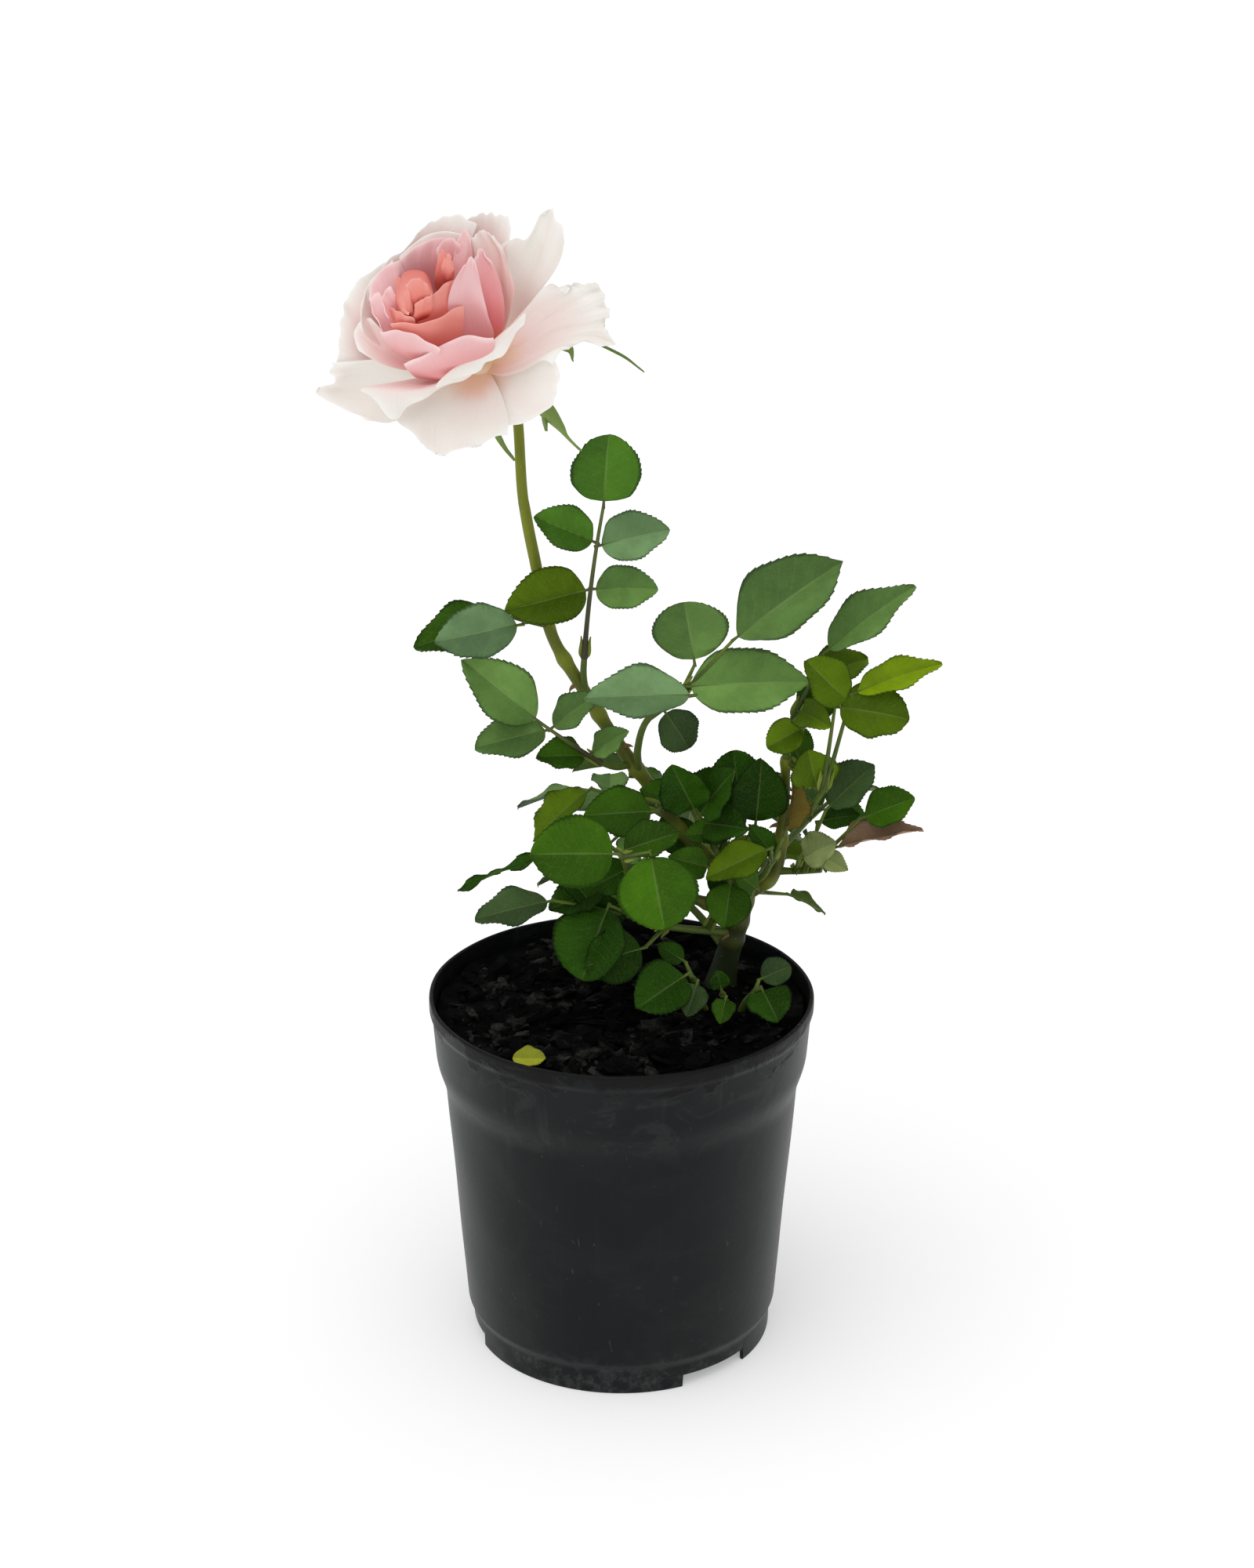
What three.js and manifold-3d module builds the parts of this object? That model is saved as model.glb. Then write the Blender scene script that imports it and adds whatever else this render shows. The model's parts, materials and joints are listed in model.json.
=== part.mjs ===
// A patio rose bush in its black nursery pot: one large open bloom on a tall cane, and a low crown of
// compound leaves. Millimetres, +Z up. The origin is the centre of the pot's flat underside. The bush
// leans to the left (-X) and the bloom looks to the left, towards the front (-Y) and up.
import * as THREE from "three";
import { mergeVertices } from "three/addons/utils/BufferGeometryUtils.js";
import Module from "manifold-3d";

const wasm = await Module();
wasm.setup();

// ---------------------------------------------------------------- driving dimensions
const CLEAR = 0.3; // gap between pieces that touch

const POT = {
  height: 126,
  rim: 65, // outer radius at the lip
  wall: 1.4,
  collarFoot: { radius: 62.8, z: 103 }, // the deep collar narrows a little towards here
  shoulder: { radius: 59.9, z: 94 }, // and steps in to the wall
  heel: { radius: 53.7, z: 12 },
  skirt: { radius: 51.8, z: 9 }, // the foot ring
  baseDisc: 34, // flat middle of the underside
  channel: 5, // height of the drain channel round that disc
  segments: 32,
};
const NOTCH = { count: 3, first: -51, width: 27, height: 4.6 }; // in the foot ring, first is degrees from +X
const DRAIN = { count: 6, radius: 4, at: 43 }; // holes in the channel's roof
const SOIL = { top: 120.5, bump: 1.6, cell: 9, rings: 5 };

const LEAFLET_THICK = 0.6;
const PETAL_THICK = 0.9;
const RACHIS = { foot: 1.0, tip: 0.55, sides: 3, steps: 3 };
const CANE_SIDES = 8;

// The bloom: the receptacle's centre, the way the flower looks, and the way its azimuth 0 points.
const BLOOM = {
  at: new THREE.Vector3(-41.3, 10, 337.1),
  axis: new THREE.Vector3(-0.429, -0.531, 0.73).normalize(),
  zero: new THREE.Vector3(0.81, 0.132, 0.572),
};
const HIP = { length: 11, radius: 4.1, neck: 1.9, top: 3.2 };

const rad = (degrees) => (degrees * Math.PI) / 180;
const vec = (p) => new THREE.Vector3(p[0], p[1], p[2]);
const onBloomAxis = (h) => BLOOM.at.clone().addScaledVector(BLOOM.axis, h);
const mix = (a, b, t) => a + (b - a) * t;

// The seeded rule's random number: 0 to 1, the same for the same seed and index.
function chance(seed, k) {
  const s = Math.sin(seed * 127.1 + k * 311.7) * 43758.5453;
  return s - Math.floor(s);
}

// ---------------------------------------------------------------- the stock and its canes
// Each is one tapering limb along a smooth course. A cane's foot is sunk in what carries it and then cut
// clear of it.
const hipFoot = onBloomAxis(-HIP.length - CLEAR).toArray();
const neck = onBloomAxis(-HIP.length - 6).toArray();
const CANES = {
  stock: {
    course: [[34, 17, 117], [37, 16.5, 134], [41, 16, 150], [43.5, 15.5, 160]],
    foot: 4.4, tip: 3.1, flare: 1.6, steps: 8, cutAt: SOIL.top + CLEAR,
  },
  flower_cane: {
    course: [
      [41.5, 16, 156], [30, 15.5, 167.5], [20.5, 15, 178.4], [11.2, 15, 192.6], [-0.6, 14, 209.9],
      [-12.2, 12, 230], [-22.4, 12, 248.6], [-26.3, 12.5, 266], [-31.5, 15, 293.6], neck, hipFoot,
    ],
    foot: 2.6, tip: 1.6, steps: 26,
  },
  right_cane: {
    course: [[42.5, 15.7, 155], [51.5, 15, 162.5], [54.2, 13, 180], [54.9, 10, 207]],
    foot: 2.5, tip: 1.5, steps: 8,
  },
  left_cane: {
    course: [[39.5, 16, 147], [26, 6, 157], [10, -9, 168], [2, -18, 178]],
    foot: 2.1, tip: 1.2, steps: 7,
  },
  back_cane: {
    course: [[38.5, 16.2, 143], [36, 27, 154], [30, 39, 164], [26, 46, 172]],
    foot: 2.1, tip: 1.3, steps: 7,
  },
};

// ---------------------------------------------------------------- the masses of foliage
// A spray is one stem with leaves on it. A leaf has a foot (a share of the stem's length), the joint
// where its stalk ends, the apex of its end leaflet and the way its upper face looks; bow lifts the
// stalk's middle. Its other leaflets are sides, each a share of the stalk and an apex, or pairs, which
// stand back from the joint by gap times the end leaflet's length at spread degrees from the stalk, each
// turned and sized by the seeded rule. broad is a leaflet's width as a share of its length, narrow that
// of the others on the same stalk.
const FACE = {
  front: [0.05, -0.85, 0.5],
  up: [0, -0.45, 0.9],
  left: [-0.3, -0.7, 0.66],
  back: [0, 0.5, 0.85],
};
const SPRAYS = {
  upper_right_leaf: {
    on: ["flower_cane"],
    stem: { course: [[-11.6, 12, 229], [-12.3, 9.5, 236], [-12, 8, 243]], foot: 1.25, tip: 1.0 },
    leaves: [
      { joint: [-5.5, 2, 296], apex: [-4.2, -1, 319], face: FACE.front, broad: 0.92, bow: [-1.5, 0, 0],
        sides: [[0.74, [-26, 0, 291]], [0.74, [15, 0, 289]],
          [0.46, [-37, -2, 262]], [0.46, [11.6, 1, 269]]],
        narrow: 0.62 },
    ],
  },
  upper_left_leaf: {
    on: ["flower_cane"],
    stem: { course: [[-23.6, 12.2, 252.5], [-28, 9, 254.5], [-31, 8, 255.5]], foot: 1.2, tip: 0.9 },
    leaves: [
      { joint: [-37, 9.5, 256.5], apex: [-69, 11, 246], face: FACE.left, broad: 0.5 },
      { joint: [-34, 3.5, 255], apex: [-60, -4, 252.5], face: FACE.front, broad: 0.66 },
    ],
  },
  left_leaf: {
    on: ["flower_cane"],
    stem: { course: [[3.6, 14.4, 203], [-1.5, 10, 203.5], [-7, 6.5, 206.5]], foot: 1.25, tip: 1.0 },
    leaves: [
      { joint: [-26.7, -2, 224], apex: [-50, -7, 246.5], face: FACE.left, broad: 0.62, bow: [1, 0, -1.5],
        sides: [[0.84, [-47.3, -9, 218.5]], [0.84, [-10.3, -3, 229]],
          [0.2, [-27.6, -1, 212]], [0.2, [1, 1, 220]]] },
    ],
  },
  crossing_leaf: {
    on: ["flower_cane"],
    stem: { course: [[5.8, 14.4, 200], [5.6, 8, 211], [9, 1, 224], [20, -4, 234]], foot: 1.35, tip: 0.95,
      steps: 5 },
    leaves: [
      { joint: [36.4, -3, 252.6], apex: [70.8, 3, 278.3], face: [-0.2, -0.8, 0.6], broad: 0.58 },
      { joint: [24, -1, 243.5], apex: [21, 9, 262], face: [0, -0.7, 0.7], broad: 1.2 },
      { joint: [24, -7, 235], apex: [-11.5, -11, 237], face: [0, -0.72, 0.7], broad: 0.5 },
      { joint: [21, -4.5, 237], apex: [61, -8, 241], face: [0, -0.8, 0.6], broad: 0.55 },
      { at: 0.62, joint: [13, 4, 229], apex: [21, 8, 215], face: FACE.front, broad: 0.85 },
    ],
  },
  right_top_leaves: {
    on: ["right_cane"],
    stem: { course: [[54.9, 10, 205], [55.2, 9, 213], [57, 8, 222]], foot: 1.4, tip: 1.0 },
    leaves: [
      { joint: [66.7, 5, 245.5], apex: [94, 8, 269], face: FACE.left, broad: 0.52, narrow: 0.66,
        sides: [[0.12, [67, -8, 226]], [0.55, [82, 17, 241]]] },
      { at: 0.3, joint: [60.5, 3, 220.5], apex: [48, -1, 215], face: FACE.front, broad: 0.85 },
      { at: 0.1, joint: [65, 6, 197], apex: [62, 3, 212], face: FACE.front, broad: 1.1 },
    ],
  },
  right_leaf: {
    on: ["right_cane"],
    stem: { course: [[54.2, 12.8, 181], [60.5, 8, 186], [68, 3, 199]], foot: 1.25, tip: 0.9 },
    leaves: [
      { joint: [75.5, 1, 232.5], apex: [104, 2, 244.5], face: [-0.1, -0.7, 0.7], broad: 0.44,
        narrow: 0.68, sides: [[0.76, [95, -7, 225]], [0.9, [64, -3, 243]]] },
    ],
  },
  far_right_leaves: {
    on: ["right_cane", "stock"],
    stem: { course: [[52.6, 14.8, 164], [60, 12, 165], [67, 8, 167]], foot: 1.3, tip: 0.9 },
    leaves: [
      { at: 0.5, joint: [68.5, 8, 189], apex: [84, 12, 204], face: [-0.1, -0.6, 0.8], broad: 0.8,
        sides: [[0.9, [94, 6, 191]]] },
      { joint: [71, 6, 176], apex: [99, -2, 187.5], face: [-0.2, -0.4, 0.9], broad: 0.34 },
      { at: 0.4, joint: [60, 5, 172.5], apex: [71, -1, 181], face: [-0.1, -0.8, 0.6], broad: 0.85 },
    ],
  },
  centre_leaves: {
    on: ["stock", "flower_cane", "right_cane"],
    stem: { course: [[41.5, 14.5, 157], [36, 10.5, 166], [31, 8, 176]], foot: 1.6, tip: 1.1 },
    leaves: [
      { joint: [25, 3, 190], apex: [17, -3, 208], face: FACE.left, broad: 0.84,
        sides: [[0.85, [35, -3, 207]], [0.7, [40.5, -7, 189]]] },
      { at: 0.8, joint: [40, 8.5, 195], apex: [36, 17, 213], face: [-0.2, -0.7, 0.7], broad: 0.9 },
      { at: 0.5, joint: [45, 9, 183], apex: [47, 5, 207], face: FACE.front, broad: 0.8 },
      { at: 0.3, joint: [30, 1, 171], apex: [16, -5, 177], face: FACE.front, broad: 0.7 },
    ],
  },
  front_leaves: {
    on: ["stock", "flower_cane", "right_cane"],
    stem: { course: [[43, 14.5, 158.5], [48, 9, 165], [50.5, 5, 172]], foot: 1.5, tip: 1.0 },
    leaves: [
      { joint: [49, 0, 176], apex: [29, -10, 170.5], face: FACE.front, broad: 0.72 },
      { joint: [54.5, 3, 182], apex: [59, 1, 202], face: [0.6, -0.6, 0.5], broad: 0.5 },
    ],
  },
  front_left_leaves: {
    on: ["left_cane"],
    stem: { course: [[2.6, -17, 176.5], [1.5, -20, 181], [0.5, -21.5, 184.5]], foot: 1.3, tip: 1.0 },
    leaves: [
      { joint: [-1, -23, 186], apex: [-29, -28, 188.5], face: FACE.front, broad: 0.84 },
      { joint: [10.5, -22, 183.5], apex: [14, -31, 163], face: [0.05, -0.95, 0.3], broad: 1.1 },
      { joint: [4, -19.5, 187], apex: [15, -14, 198], face: [-0.2, -0.8, 0.55], broad: 0.95 },
      { joint: [-6, -20, 190], apex: [-54, -29, 181.5], face: [0, -0.1, 1], broad: 0.1 },
    ],
  },
  middle_left_leaf: {
    on: ["flower_cane"],
    stem: { course: [[13.6, 15, 189.5], [14, 9, 190], [13.5, 5, 191]], foot: 1.2, tip: 0.9 },
    leaves: [
      { joint: [-10, 3, 198.5], apex: [-31, 1, 182], face: [-0.2, -0.5, 0.85], broad: 0.55 },
      { joint: [11.5, -1, 192], apex: [-12, -8, 194], face: [-0.1, -0.8, 0.6], broad: 0.72 },
    ],
  },
  low_left_leaves: {
    on: ["left_cane", "stock"],
    stem: { course: [[36.5, 15, 141], [24, 4, 147], [11, -6, 153]], foot: 1.5, tip: 1.1 },
    leaves: [
      { joint: [-22.6, -14, 165.5], apex: [-48, -20, 162.5], face: FACE.up, broad: 0.6, bow: [0, 0, 2],
        sides: [[0.6, [-20, -8, 176]]] },
      { joint: [-4, -12, 163], apex: [-13.5, -25, 142], face: FACE.left, broad: 1.0 },
      { at: 0.85, joint: [8, -15, 149], apex: [-11, -26, 148], face: FACE.front, broad: 0.85 },
      { at: 0.3, joint: [37, 4, 165], apex: [34.5, -5, 152], face: FACE.front, broad: 1.0 },
    ],
  },
  back_leaves: {
    on: ["back_cane"],
    stem: { course: [[26.4, 45.5, 171], [24, 48, 176], [21, 50, 180]], foot: 1.3, tip: 1.0 },
    leaves: [
      { joint: [6, 58, 186], apex: [-17, 64, 184], face: FACE.back, pairs: 2, gap: 0.55, broad: 0.66,
        spread: 72 },
      { joint: [38, 60, 180], apex: [60, 66, 176], face: FACE.back, pairs: 1, gap: 0.6, broad: 0.7,
        spread: 70 },
      { at: 0.4, joint: [25, 64, 168], apex: [24, 80, 156], face: [0, 0.7, 0.7], pairs: 1, gap: 0.4,
        broad: 0.8, spread: 76 },
    ],
  },
  back_left_leaves: {
    on: ["flower_cane"],
    stem: { course: [[17.6, 15, 182.4], [11, 21, 184], [4, 27, 186]], foot: 1.4, tip: 1.0 },
    leaves: [
      { joint: [-16, 35, 186], apex: [-36, 40, 178], face: [-0.4, 0.2, 0.9], pairs: 1, gap: 0.6,
        broad: 0.72, spread: 70 },
      { at: 0.6, joint: [-2, 24, 172], apex: [-17, 22, 158], face: [-0.6, -0.3, 0.75], pairs: 1,
        gap: 0.5, broad: 0.75, spread: 72 },
    ],
  },
  back_right_leaves: {
    on: ["right_cane"],
    stem: { course: [[53.3, 14, 172], [59, 21, 175], [64, 27, 178]], foot: 1.4, tip: 1.0 },
    leaves: [
      { joint: [76, 38, 184], apex: [90, 50, 180], face: [0.4, 0.3, 0.85], pairs: 1, gap: 0.6,
        broad: 0.7, spread: 70 },
      { at: 0.5, joint: [64, 34, 166], apex: [70, 48, 158], face: [0.5, -0.2, 0.85], pairs: 1, gap: 0.5,
        broad: 0.78, spread: 74 },
      { joint: [61, 32, 194], apex: [58, 42, 208], face: [0, -0.4, 0.9], broad: 0.7 },
    ],
  },
  rear_left_leaves: {
    on: ["stock", "back_cane", "flower_cane"],
    stem: { course: [[34.5, 17.5, 136], [24, 30, 144], [11, 38, 151]], foot: 1.5, tip: 1.0 },
    leaves: [
      { joint: [-10, 43, 155], apex: [-30, 44, 148], face: [-0.2, 0.3, 0.9], pairs: 1, gap: 0.55,
        broad: 0.72, spread: 70 },
      { at: 0.7, joint: [8, 52, 150], apex: [-4, 66, 143], face: [-0.2, 0.6, 0.75], pairs: 1, gap: 0.45,
        broad: 0.75, spread: 72 },
    ],
  },
  rear_right_leaves: {
    on: ["stock", "back_cane", "right_cane"],
    stem: { course: [[36.6, 17, 141], [44, 30, 148], [50, 42, 154]], foot: 1.5, tip: 1.0 },
    leaves: [
      { joint: [57, 58, 158], apex: [64, 74, 150], face: [0.2, 0.5, 0.8], pairs: 1, gap: 0.5,
        broad: 0.72, spread: 72 },
      { at: 0.6, joint: [58, 36, 146], apex: [72, 42, 138], face: [0.6, 0.1, 0.8], broad: 0.72 },
    ],
  },
  sprout_left: {
    stem: { course: [[29, -1, 118], [26, -7, 128], [24, -11, 136]], foot: 1.3, tip: 0.9,
      cutAt: SOIL.top + CLEAR },
    leaves: [
      { joint: [22.4, -13, 138.5], apex: [5.9, -26, 132.5], face: [0, -0.75, 0.65], broad: 0.88 },
      { joint: [21.5, -8, 140.5], apex: [12.5, -8, 147], face: FACE.left, broad: 0.7 },
      { at: 0.6, joint: [25.5, -14, 136], apex: [22, -25, 129], face: FACE.front, broad: 0.75 },
    ],
  },
  sprout_middle: {
    stem: { course: [[35, -6, 118], [34.5, -10, 125], [34, -12.5, 131]], foot: 1.1, tip: 0.8,
      cutAt: SOIL.top + CLEAR },
    leaves: [
      { joint: [33.6, -13.5, 132.5], apex: [32, -15, 140], face: FACE.front, broad: 0.95 },
      { at: 0.6, joint: [35, -16, 131], apex: [33, -26, 127], face: [0, -0.6, 0.8], broad: 0.75 },
    ],
  },
  sprout_right: {
    stem: { course: [[40, -3, 118], [42, -6, 125], [45, -9, 130]], foot: 1.2, tip: 0.9,
      cutAt: SOIL.top + CLEAR },
    leaves: [
      { joint: [47, -10.5, 132], apex: [52, -25, 127.5], face: [0, -0.7, 0.7], broad: 1.0 },
      { joint: [46.5, -6, 133], apex: [57, -4, 137.5], face: [0, -0.75, 0.66], broad: 0.8 },
    ],
  },
};

// ---------------------------------------------------------------- the bloom's petals
// phi is the petal's azimuth round the flower's axis. Its middle line starts at root, a (radius, height).
// lean is its angle from the axis: at the root, what pulls its middle, and at the tip. hug is how closely
// the blade wraps round the axis, and roll turns it in its place in degrees, so that one edge lies under
// its neighbour.
const GUARD_PETALS = [
  { phi: 10, length: 56, half: 18, lean: [72, 42, 52] },
  { phi: -38, length: 53, half: 21, lean: [72, 45, 98] },
  { phi: -78, length: 46, half: 20, lean: [72, 32, 108] },
  { phi: -120, length: 46, half: 20, lean: [72, 30, 104] },
  { phi: -160, length: 49, half: 19, lean: [72, 38, 92] },
  { phi: 168, length: 52, half: 18, lean: [72, 44, 66] },
  { phi: 128, length: 48, half: 19, lean: [72, 50, 30] },
  { phi: 88, length: 48, half: 19, lean: [72, 50, 28] },
  { phi: 52, length: 50, half: 19, lean: [72, 50, 30] },
].map((p) => ({ ...p, root: [2.2, 1.4], hug: 0.45, roll: 9 }));
const INNER_GUARD = { count: 6, first: -100, length: 40, half: 17, root: [2.4, 1.8], hug: 0.6, roll: 9 };
const CUP_WHORLS = [
  { count: 6, first: 15, length: 39, half: 14, lean: [66, 30, -4], root: [4, 4.4], hug: 0.85, roll: 10 },
  { count: 5, first: -10, length: 37, half: 11, lean: [54, 20, -10], root: [3.5, 5], hug: 0.9, roll: 12 },
];
const HEART_WHORLS = [
  { count: 5, first: 20, length: 31, half: 7, lean: [34, 12, -10], root: [2.6, 9], hug: 0.9, roll: 12 },
  { count: 3, first: 50, length: 31, half: 4.5, lean: [16, 5, -6], root: [1.6, 10.5], hug: 0.9,
    roll: 12 },
];
// Lathe profiles (radius, height) that part the heart from the cup and the cup from the guard petals.
const HEART_SPACE = [[0, 7.6], [4, 7.6], [7.5, 16], [12, 27], [12.5, 46], [0, 46]];
const CUP_SPACE = [[0, 3.9], [7, 3.9], [12, 7.6], [19.5, 15.5], [24, 24], [25.5, 34], [25.5, 50], [0, 50]];
const SEPALS = [
  { phi: -72, length: 33, half: 2.8, lean: [96, 104, 122] },
  { phi: -33, length: 55, half: 1.7, lean: [84, 92, 112] },
  { phi: -124, length: 27, half: 2.4, lean: [112, 140, 168] },
  { phi: 5, length: 29, half: 2.4, lean: [98, 110, 122] },
  { phi: 112, length: 26, half: 2.4, lean: [102, 120, 140] },
];

// ---------------------------------------------------------------- solids
function solidOf(geometry) {
  const bare = new THREE.BufferGeometry();
  bare.setAttribute("position", geometry.getAttribute("position").clone());
  if (geometry.index) bare.setIndex(geometry.index.clone());
  const merged = mergeVertices(bare, 1e-4);
  const index = merged.index.array;
  const kept = [];
  for (let i = 0; i < index.length; i += 3) {
    const [a, b, c] = [index[i], index[i + 1], index[i + 2]];
    if (a !== b && b !== c && a !== c) kept.push(a, b, c); // a pole's empty faces are dropped
  }
  const vertProperties = merged.attributes.position.array;
  const solid = new wasm.Manifold(
    new wasm.Mesh({ numProp: 3, vertProperties, triVerts: new Uint32Array(kept) }),
  );
  if (solid.volume() <= 0) throw new Error("a solid is inside out");
  return solid;
}

function geometryOf(solid) {
  const mesh = solid.getMesh();
  const geometry = new THREE.BufferGeometry();
  geometry.setAttribute("position", new THREE.BufferAttribute(mesh.vertProperties, 3));
  geometry.setIndex(new THREE.BufferAttribute(mesh.triVerts, 1));
  geometry.computeVertexNormals();
  return geometry;
}

// One body: hollows that fusing seals are filled and loose scraps are dropped.
function largest(solid) {
  return solid.decompose().reduce((a, b) => (b.volume() > a.volume() ? b : a));
}

const SNAP = 0.02; // edges shorter than this are closed up after the joins and cuts
const fuse = (solids) => largest(wasm.Manifold.union(solids).simplify(SNAP));
const cutClear = (solid, cutters) => largest(cutters.reduce((s, c) => s.subtract(c), solid).simplify(SNAP));

// A closed shape turned about the flower's or the pot's axis, from (radius, height) points.
function turned(profile, segments) {
  const points = profile.map(([r, h]) => new THREE.Vector2(r, h));
  return new THREE.LatheGeometry(points, segments).rotateX(Math.PI / 2);
}

// A round limb along a smooth course, with a closed end at each side. radiusAt takes the share of its
// length.
function limbGeometry(course, radiusAt, steps, sides) {
  const curve = new THREE.CatmullRomCurve3(course.map(vec), false, "centripetal");
  const frames = curve.computeFrenetFrames(steps, false);
  const position = [];
  const index = [];
  for (let i = 0; i <= steps; i++) {
    const centre = curve.getPointAt(i / steps);
    for (let j = 0; j < sides; j++) {
      const turn = (2 * Math.PI * j) / sides;
      const r = radiusAt(i / steps);
      const p = centre.clone();
      p.addScaledVector(frames.normals[i], r * Math.cos(turn));
      p.addScaledVector(frames.binormals[i], r * Math.sin(turn));
      position.push(p.x, p.y, p.z);
    }
  }
  const at = (i, j) => i * sides + (j % sides);
  for (let i = 0; i < steps; i++)
    for (let j = 0; j < sides; j++) {
      index.push(at(i, j), at(i, j + 1), at(i + 1, j + 1));
      index.push(at(i, j), at(i + 1, j + 1), at(i + 1, j));
    }
  for (let j = 1; j < sides - 1; j++) {
    index.push(at(0, 0), at(0, j + 1), at(0, j));
    index.push(at(steps, 0), at(steps, j), at(steps, j + 1));
  }
  const geometry = new THREE.BufferGeometry();
  geometry.setAttribute("position", new THREE.BufferAttribute(new Float32Array(position), 3));
  return geometry.setIndex(index);
}

// grow makes the limb fatter and longer by that much, as the cutter that keeps its neighbours clear.
function limb({ course, foot, tip, flare = 0, steps = 4 }, sides, grow = 0) {
  const ends = course.map(vec);
  const stretch = (from, to) => to.clone().addScaledVector(to.clone().sub(from).normalize(), grow).toArray();
  const points = course.slice();
  points[0] = stretch(ends[1], ends[0]);
  points[points.length - 1] = stretch(ends[ends.length - 2], ends[ends.length - 1]);
  const radiusAt = (t) => mix(foot, tip, t) + flare * Math.exp(-7 * t) + grow;
  return solidOf(limbGeometry(points, radiusAt, steps, sides));
}

// A closed blade over a grid of (u, v): one shared edge all round, thick in the middle. point gives its
// middle surface.
function blade(us, vs, point, thick) {
  const rows = vs.map((v) => us.map((u) => point(u, v)));
  const last = [us.length - 1, vs.length - 1];
  const normalAt = (i, j) => {
    const alongU = rows[j][Math.min(i + 1, last[0])].clone().sub(rows[j][Math.max(i - 1, 0)]);
    const alongV = rows[Math.min(j + 1, last[1])][i].clone().sub(rows[Math.max(j - 1, 0)][i]);
    return alongU.cross(alongV).normalize();
  };
  const position = [];
  const index = [];
  const corner = (i, j, side) => {
    const edge = i === 0 || j === 0 || i === last[0] || j === last[1];
    return rows[j][i].clone().addScaledVector(normalAt(i, j), edge ? 0 : (side * thick) / 2);
  };
  const face = (...corners) => {
    for (const p of corners) position.push(p.x, p.y, p.z);
    const n = position.length / 3;
    index.push(n - 3, n - 2, n - 1);
  };
  for (let j = 0; j < last[1]; j++)
    for (let i = 0; i < last[0]; i++)
      for (const side of [1, -1]) {
        const [a, b] = [corner(i, j, side), corner(i + 1, j, side)];
        const [c, d] = [corner(i + 1, j + 1, side), corner(i, j + 1, side)];
        // Faces near the two ends' corners are split the other way, so that none lies flat on its mirror.
        const across = (i < last[0] / 2) === (j < last[1] / 2);
        const faces = across ? [[a, b, c], [a, c, d]] : [[a, b, d], [b, c, d]];
        for (const [first, second, third] of faces) {
          if (side > 0) face(first, second, third);
          else face(first, third, second);
        }
      }
  const geometry = new THREE.BufferGeometry();
  geometry.setAttribute("position", new THREE.BufferAttribute(new Float32Array(position), 3));
  return solidOf(geometry.setIndex(index));
}

// ---------------------------------------------------------------- leaves
const LEAFLET_STEPS = [0, 0.2, 0.5, 0.8, 1];
const outline = (v) => 1.06 * Math.sin(Math.PI * Math.pow(v, 0.86)) ** 0.7;

// One leaflet from its root, along a way, with its upper face to a side. It folds up along the midrib and
// droops.
function leaflet(root, way, face, length, broad, fold, droop) {
  const along = way.clone().normalize();
  const up = face.clone().addScaledVector(along, -face.dot(along)).normalize();
  const side = up.clone().cross(along);
  const half = 0.5 * length * broad;
  const point = (u, v) => {
    const reach = half * Math.max(0, outline(v));
    const lift = fold * Math.abs(u) * reach - droop * length * v * v;
    const p = root.clone().addScaledVector(along, length * v);
    return p.addScaledVector(side, u * reach).addScaledVector(up, lift);
  };
  return blade([-1, 0, 1], LEAFLET_STEPS, point, LEAFLET_THICK);
}

// A compound leaf: its stalk, an end leaflet and its pairs, each turned, folded and sized a little by the
// seeded rule.
function compoundLeaf(spec, foot, seed) {
  const { sides = [], pairs = 0, gap = 0.5, broad, narrow = broad, spread = 70, bow = [0, 0, 0] } = spec;
  const joint = vec(spec.joint);
  const apex = vec(spec.apex);
  const face = vec(spec.face).normalize();
  const middle = foot.clone().add(joint).multiplyScalar(0.5).add(vec(bow));
  const stalk = new THREE.QuadraticBezierCurve3(foot, middle, joint);
  const length = apex.distanceTo(joint);
  const SINK = 1.2; // how far a leaflet's root is sunk in its stalk
  const stalkCourse = [0, 0.5, 1].map((t) => stalk.getPoint(t).toArray());
  const solids = [limb({ ...RACHIS, course: stalkCourse }, RACHIS.sides)];
  const grow = (root, way, normal, size, width, k) => {
    const heading = way.clone().normalize();
    const fold = 0.12 + 0.3 * chance(seed, k + 1);
    const droop = 0.04 + 0.12 * chance(seed, k + 2);
    const sunk = root.clone().addScaledVector(heading, -SINK);
    solids.push(leaflet(sunk, heading, normal, size + SINK, width, fold, droop));
  };
  grow(joint, apex.clone().sub(joint), face, length, broad, 0);
  sides.forEach(([t, tip], n) => {
    const way = vec(tip).sub(stalk.getPoint(t));
    grow(stalk.getPoint(t), way, face, way.length(), narrow, 5 + n);
  });
  const reach = foot.distanceTo(joint);
  for (let pair = 0; pair < pairs; pair++) {
    const t = 1 - (gap * (pair + 1) * length) / reach;
    if (t < 0.12) continue; // a pair that would stand on the stem is skipped
    const root = stalk.getPoint(t);
    const ahead = stalk.getTangent(t);
    const up = face.clone().addScaledVector(ahead, -face.dot(ahead)).normalize();
    const side = up.clone().cross(ahead);
    for (const hand of [1, -1]) {
      const k = 10 * (2 * pair + (hand > 0 ? 1 : 2));
      const turn = rad(spread + 16 * (chance(seed, k + 3) - 0.5));
      const rise = 0.3 * (chance(seed, k + 4) - 0.5);
      const way = ahead.clone().multiplyScalar(Math.cos(turn)).addScaledVector(side, hand * Math.sin(turn));
      way.addScaledVector(up, rise);
      const normal = up.clone().addScaledVector(side, 0.5 * (chance(seed, k + 5) - 0.5));
      const size = length * (0.9 - 0.1 * pair) * (0.93 + 0.14 * chance(seed, k + 6));
      grow(root, way, normal, size, narrow, k);
    }
  }
  return solids;
}

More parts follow.
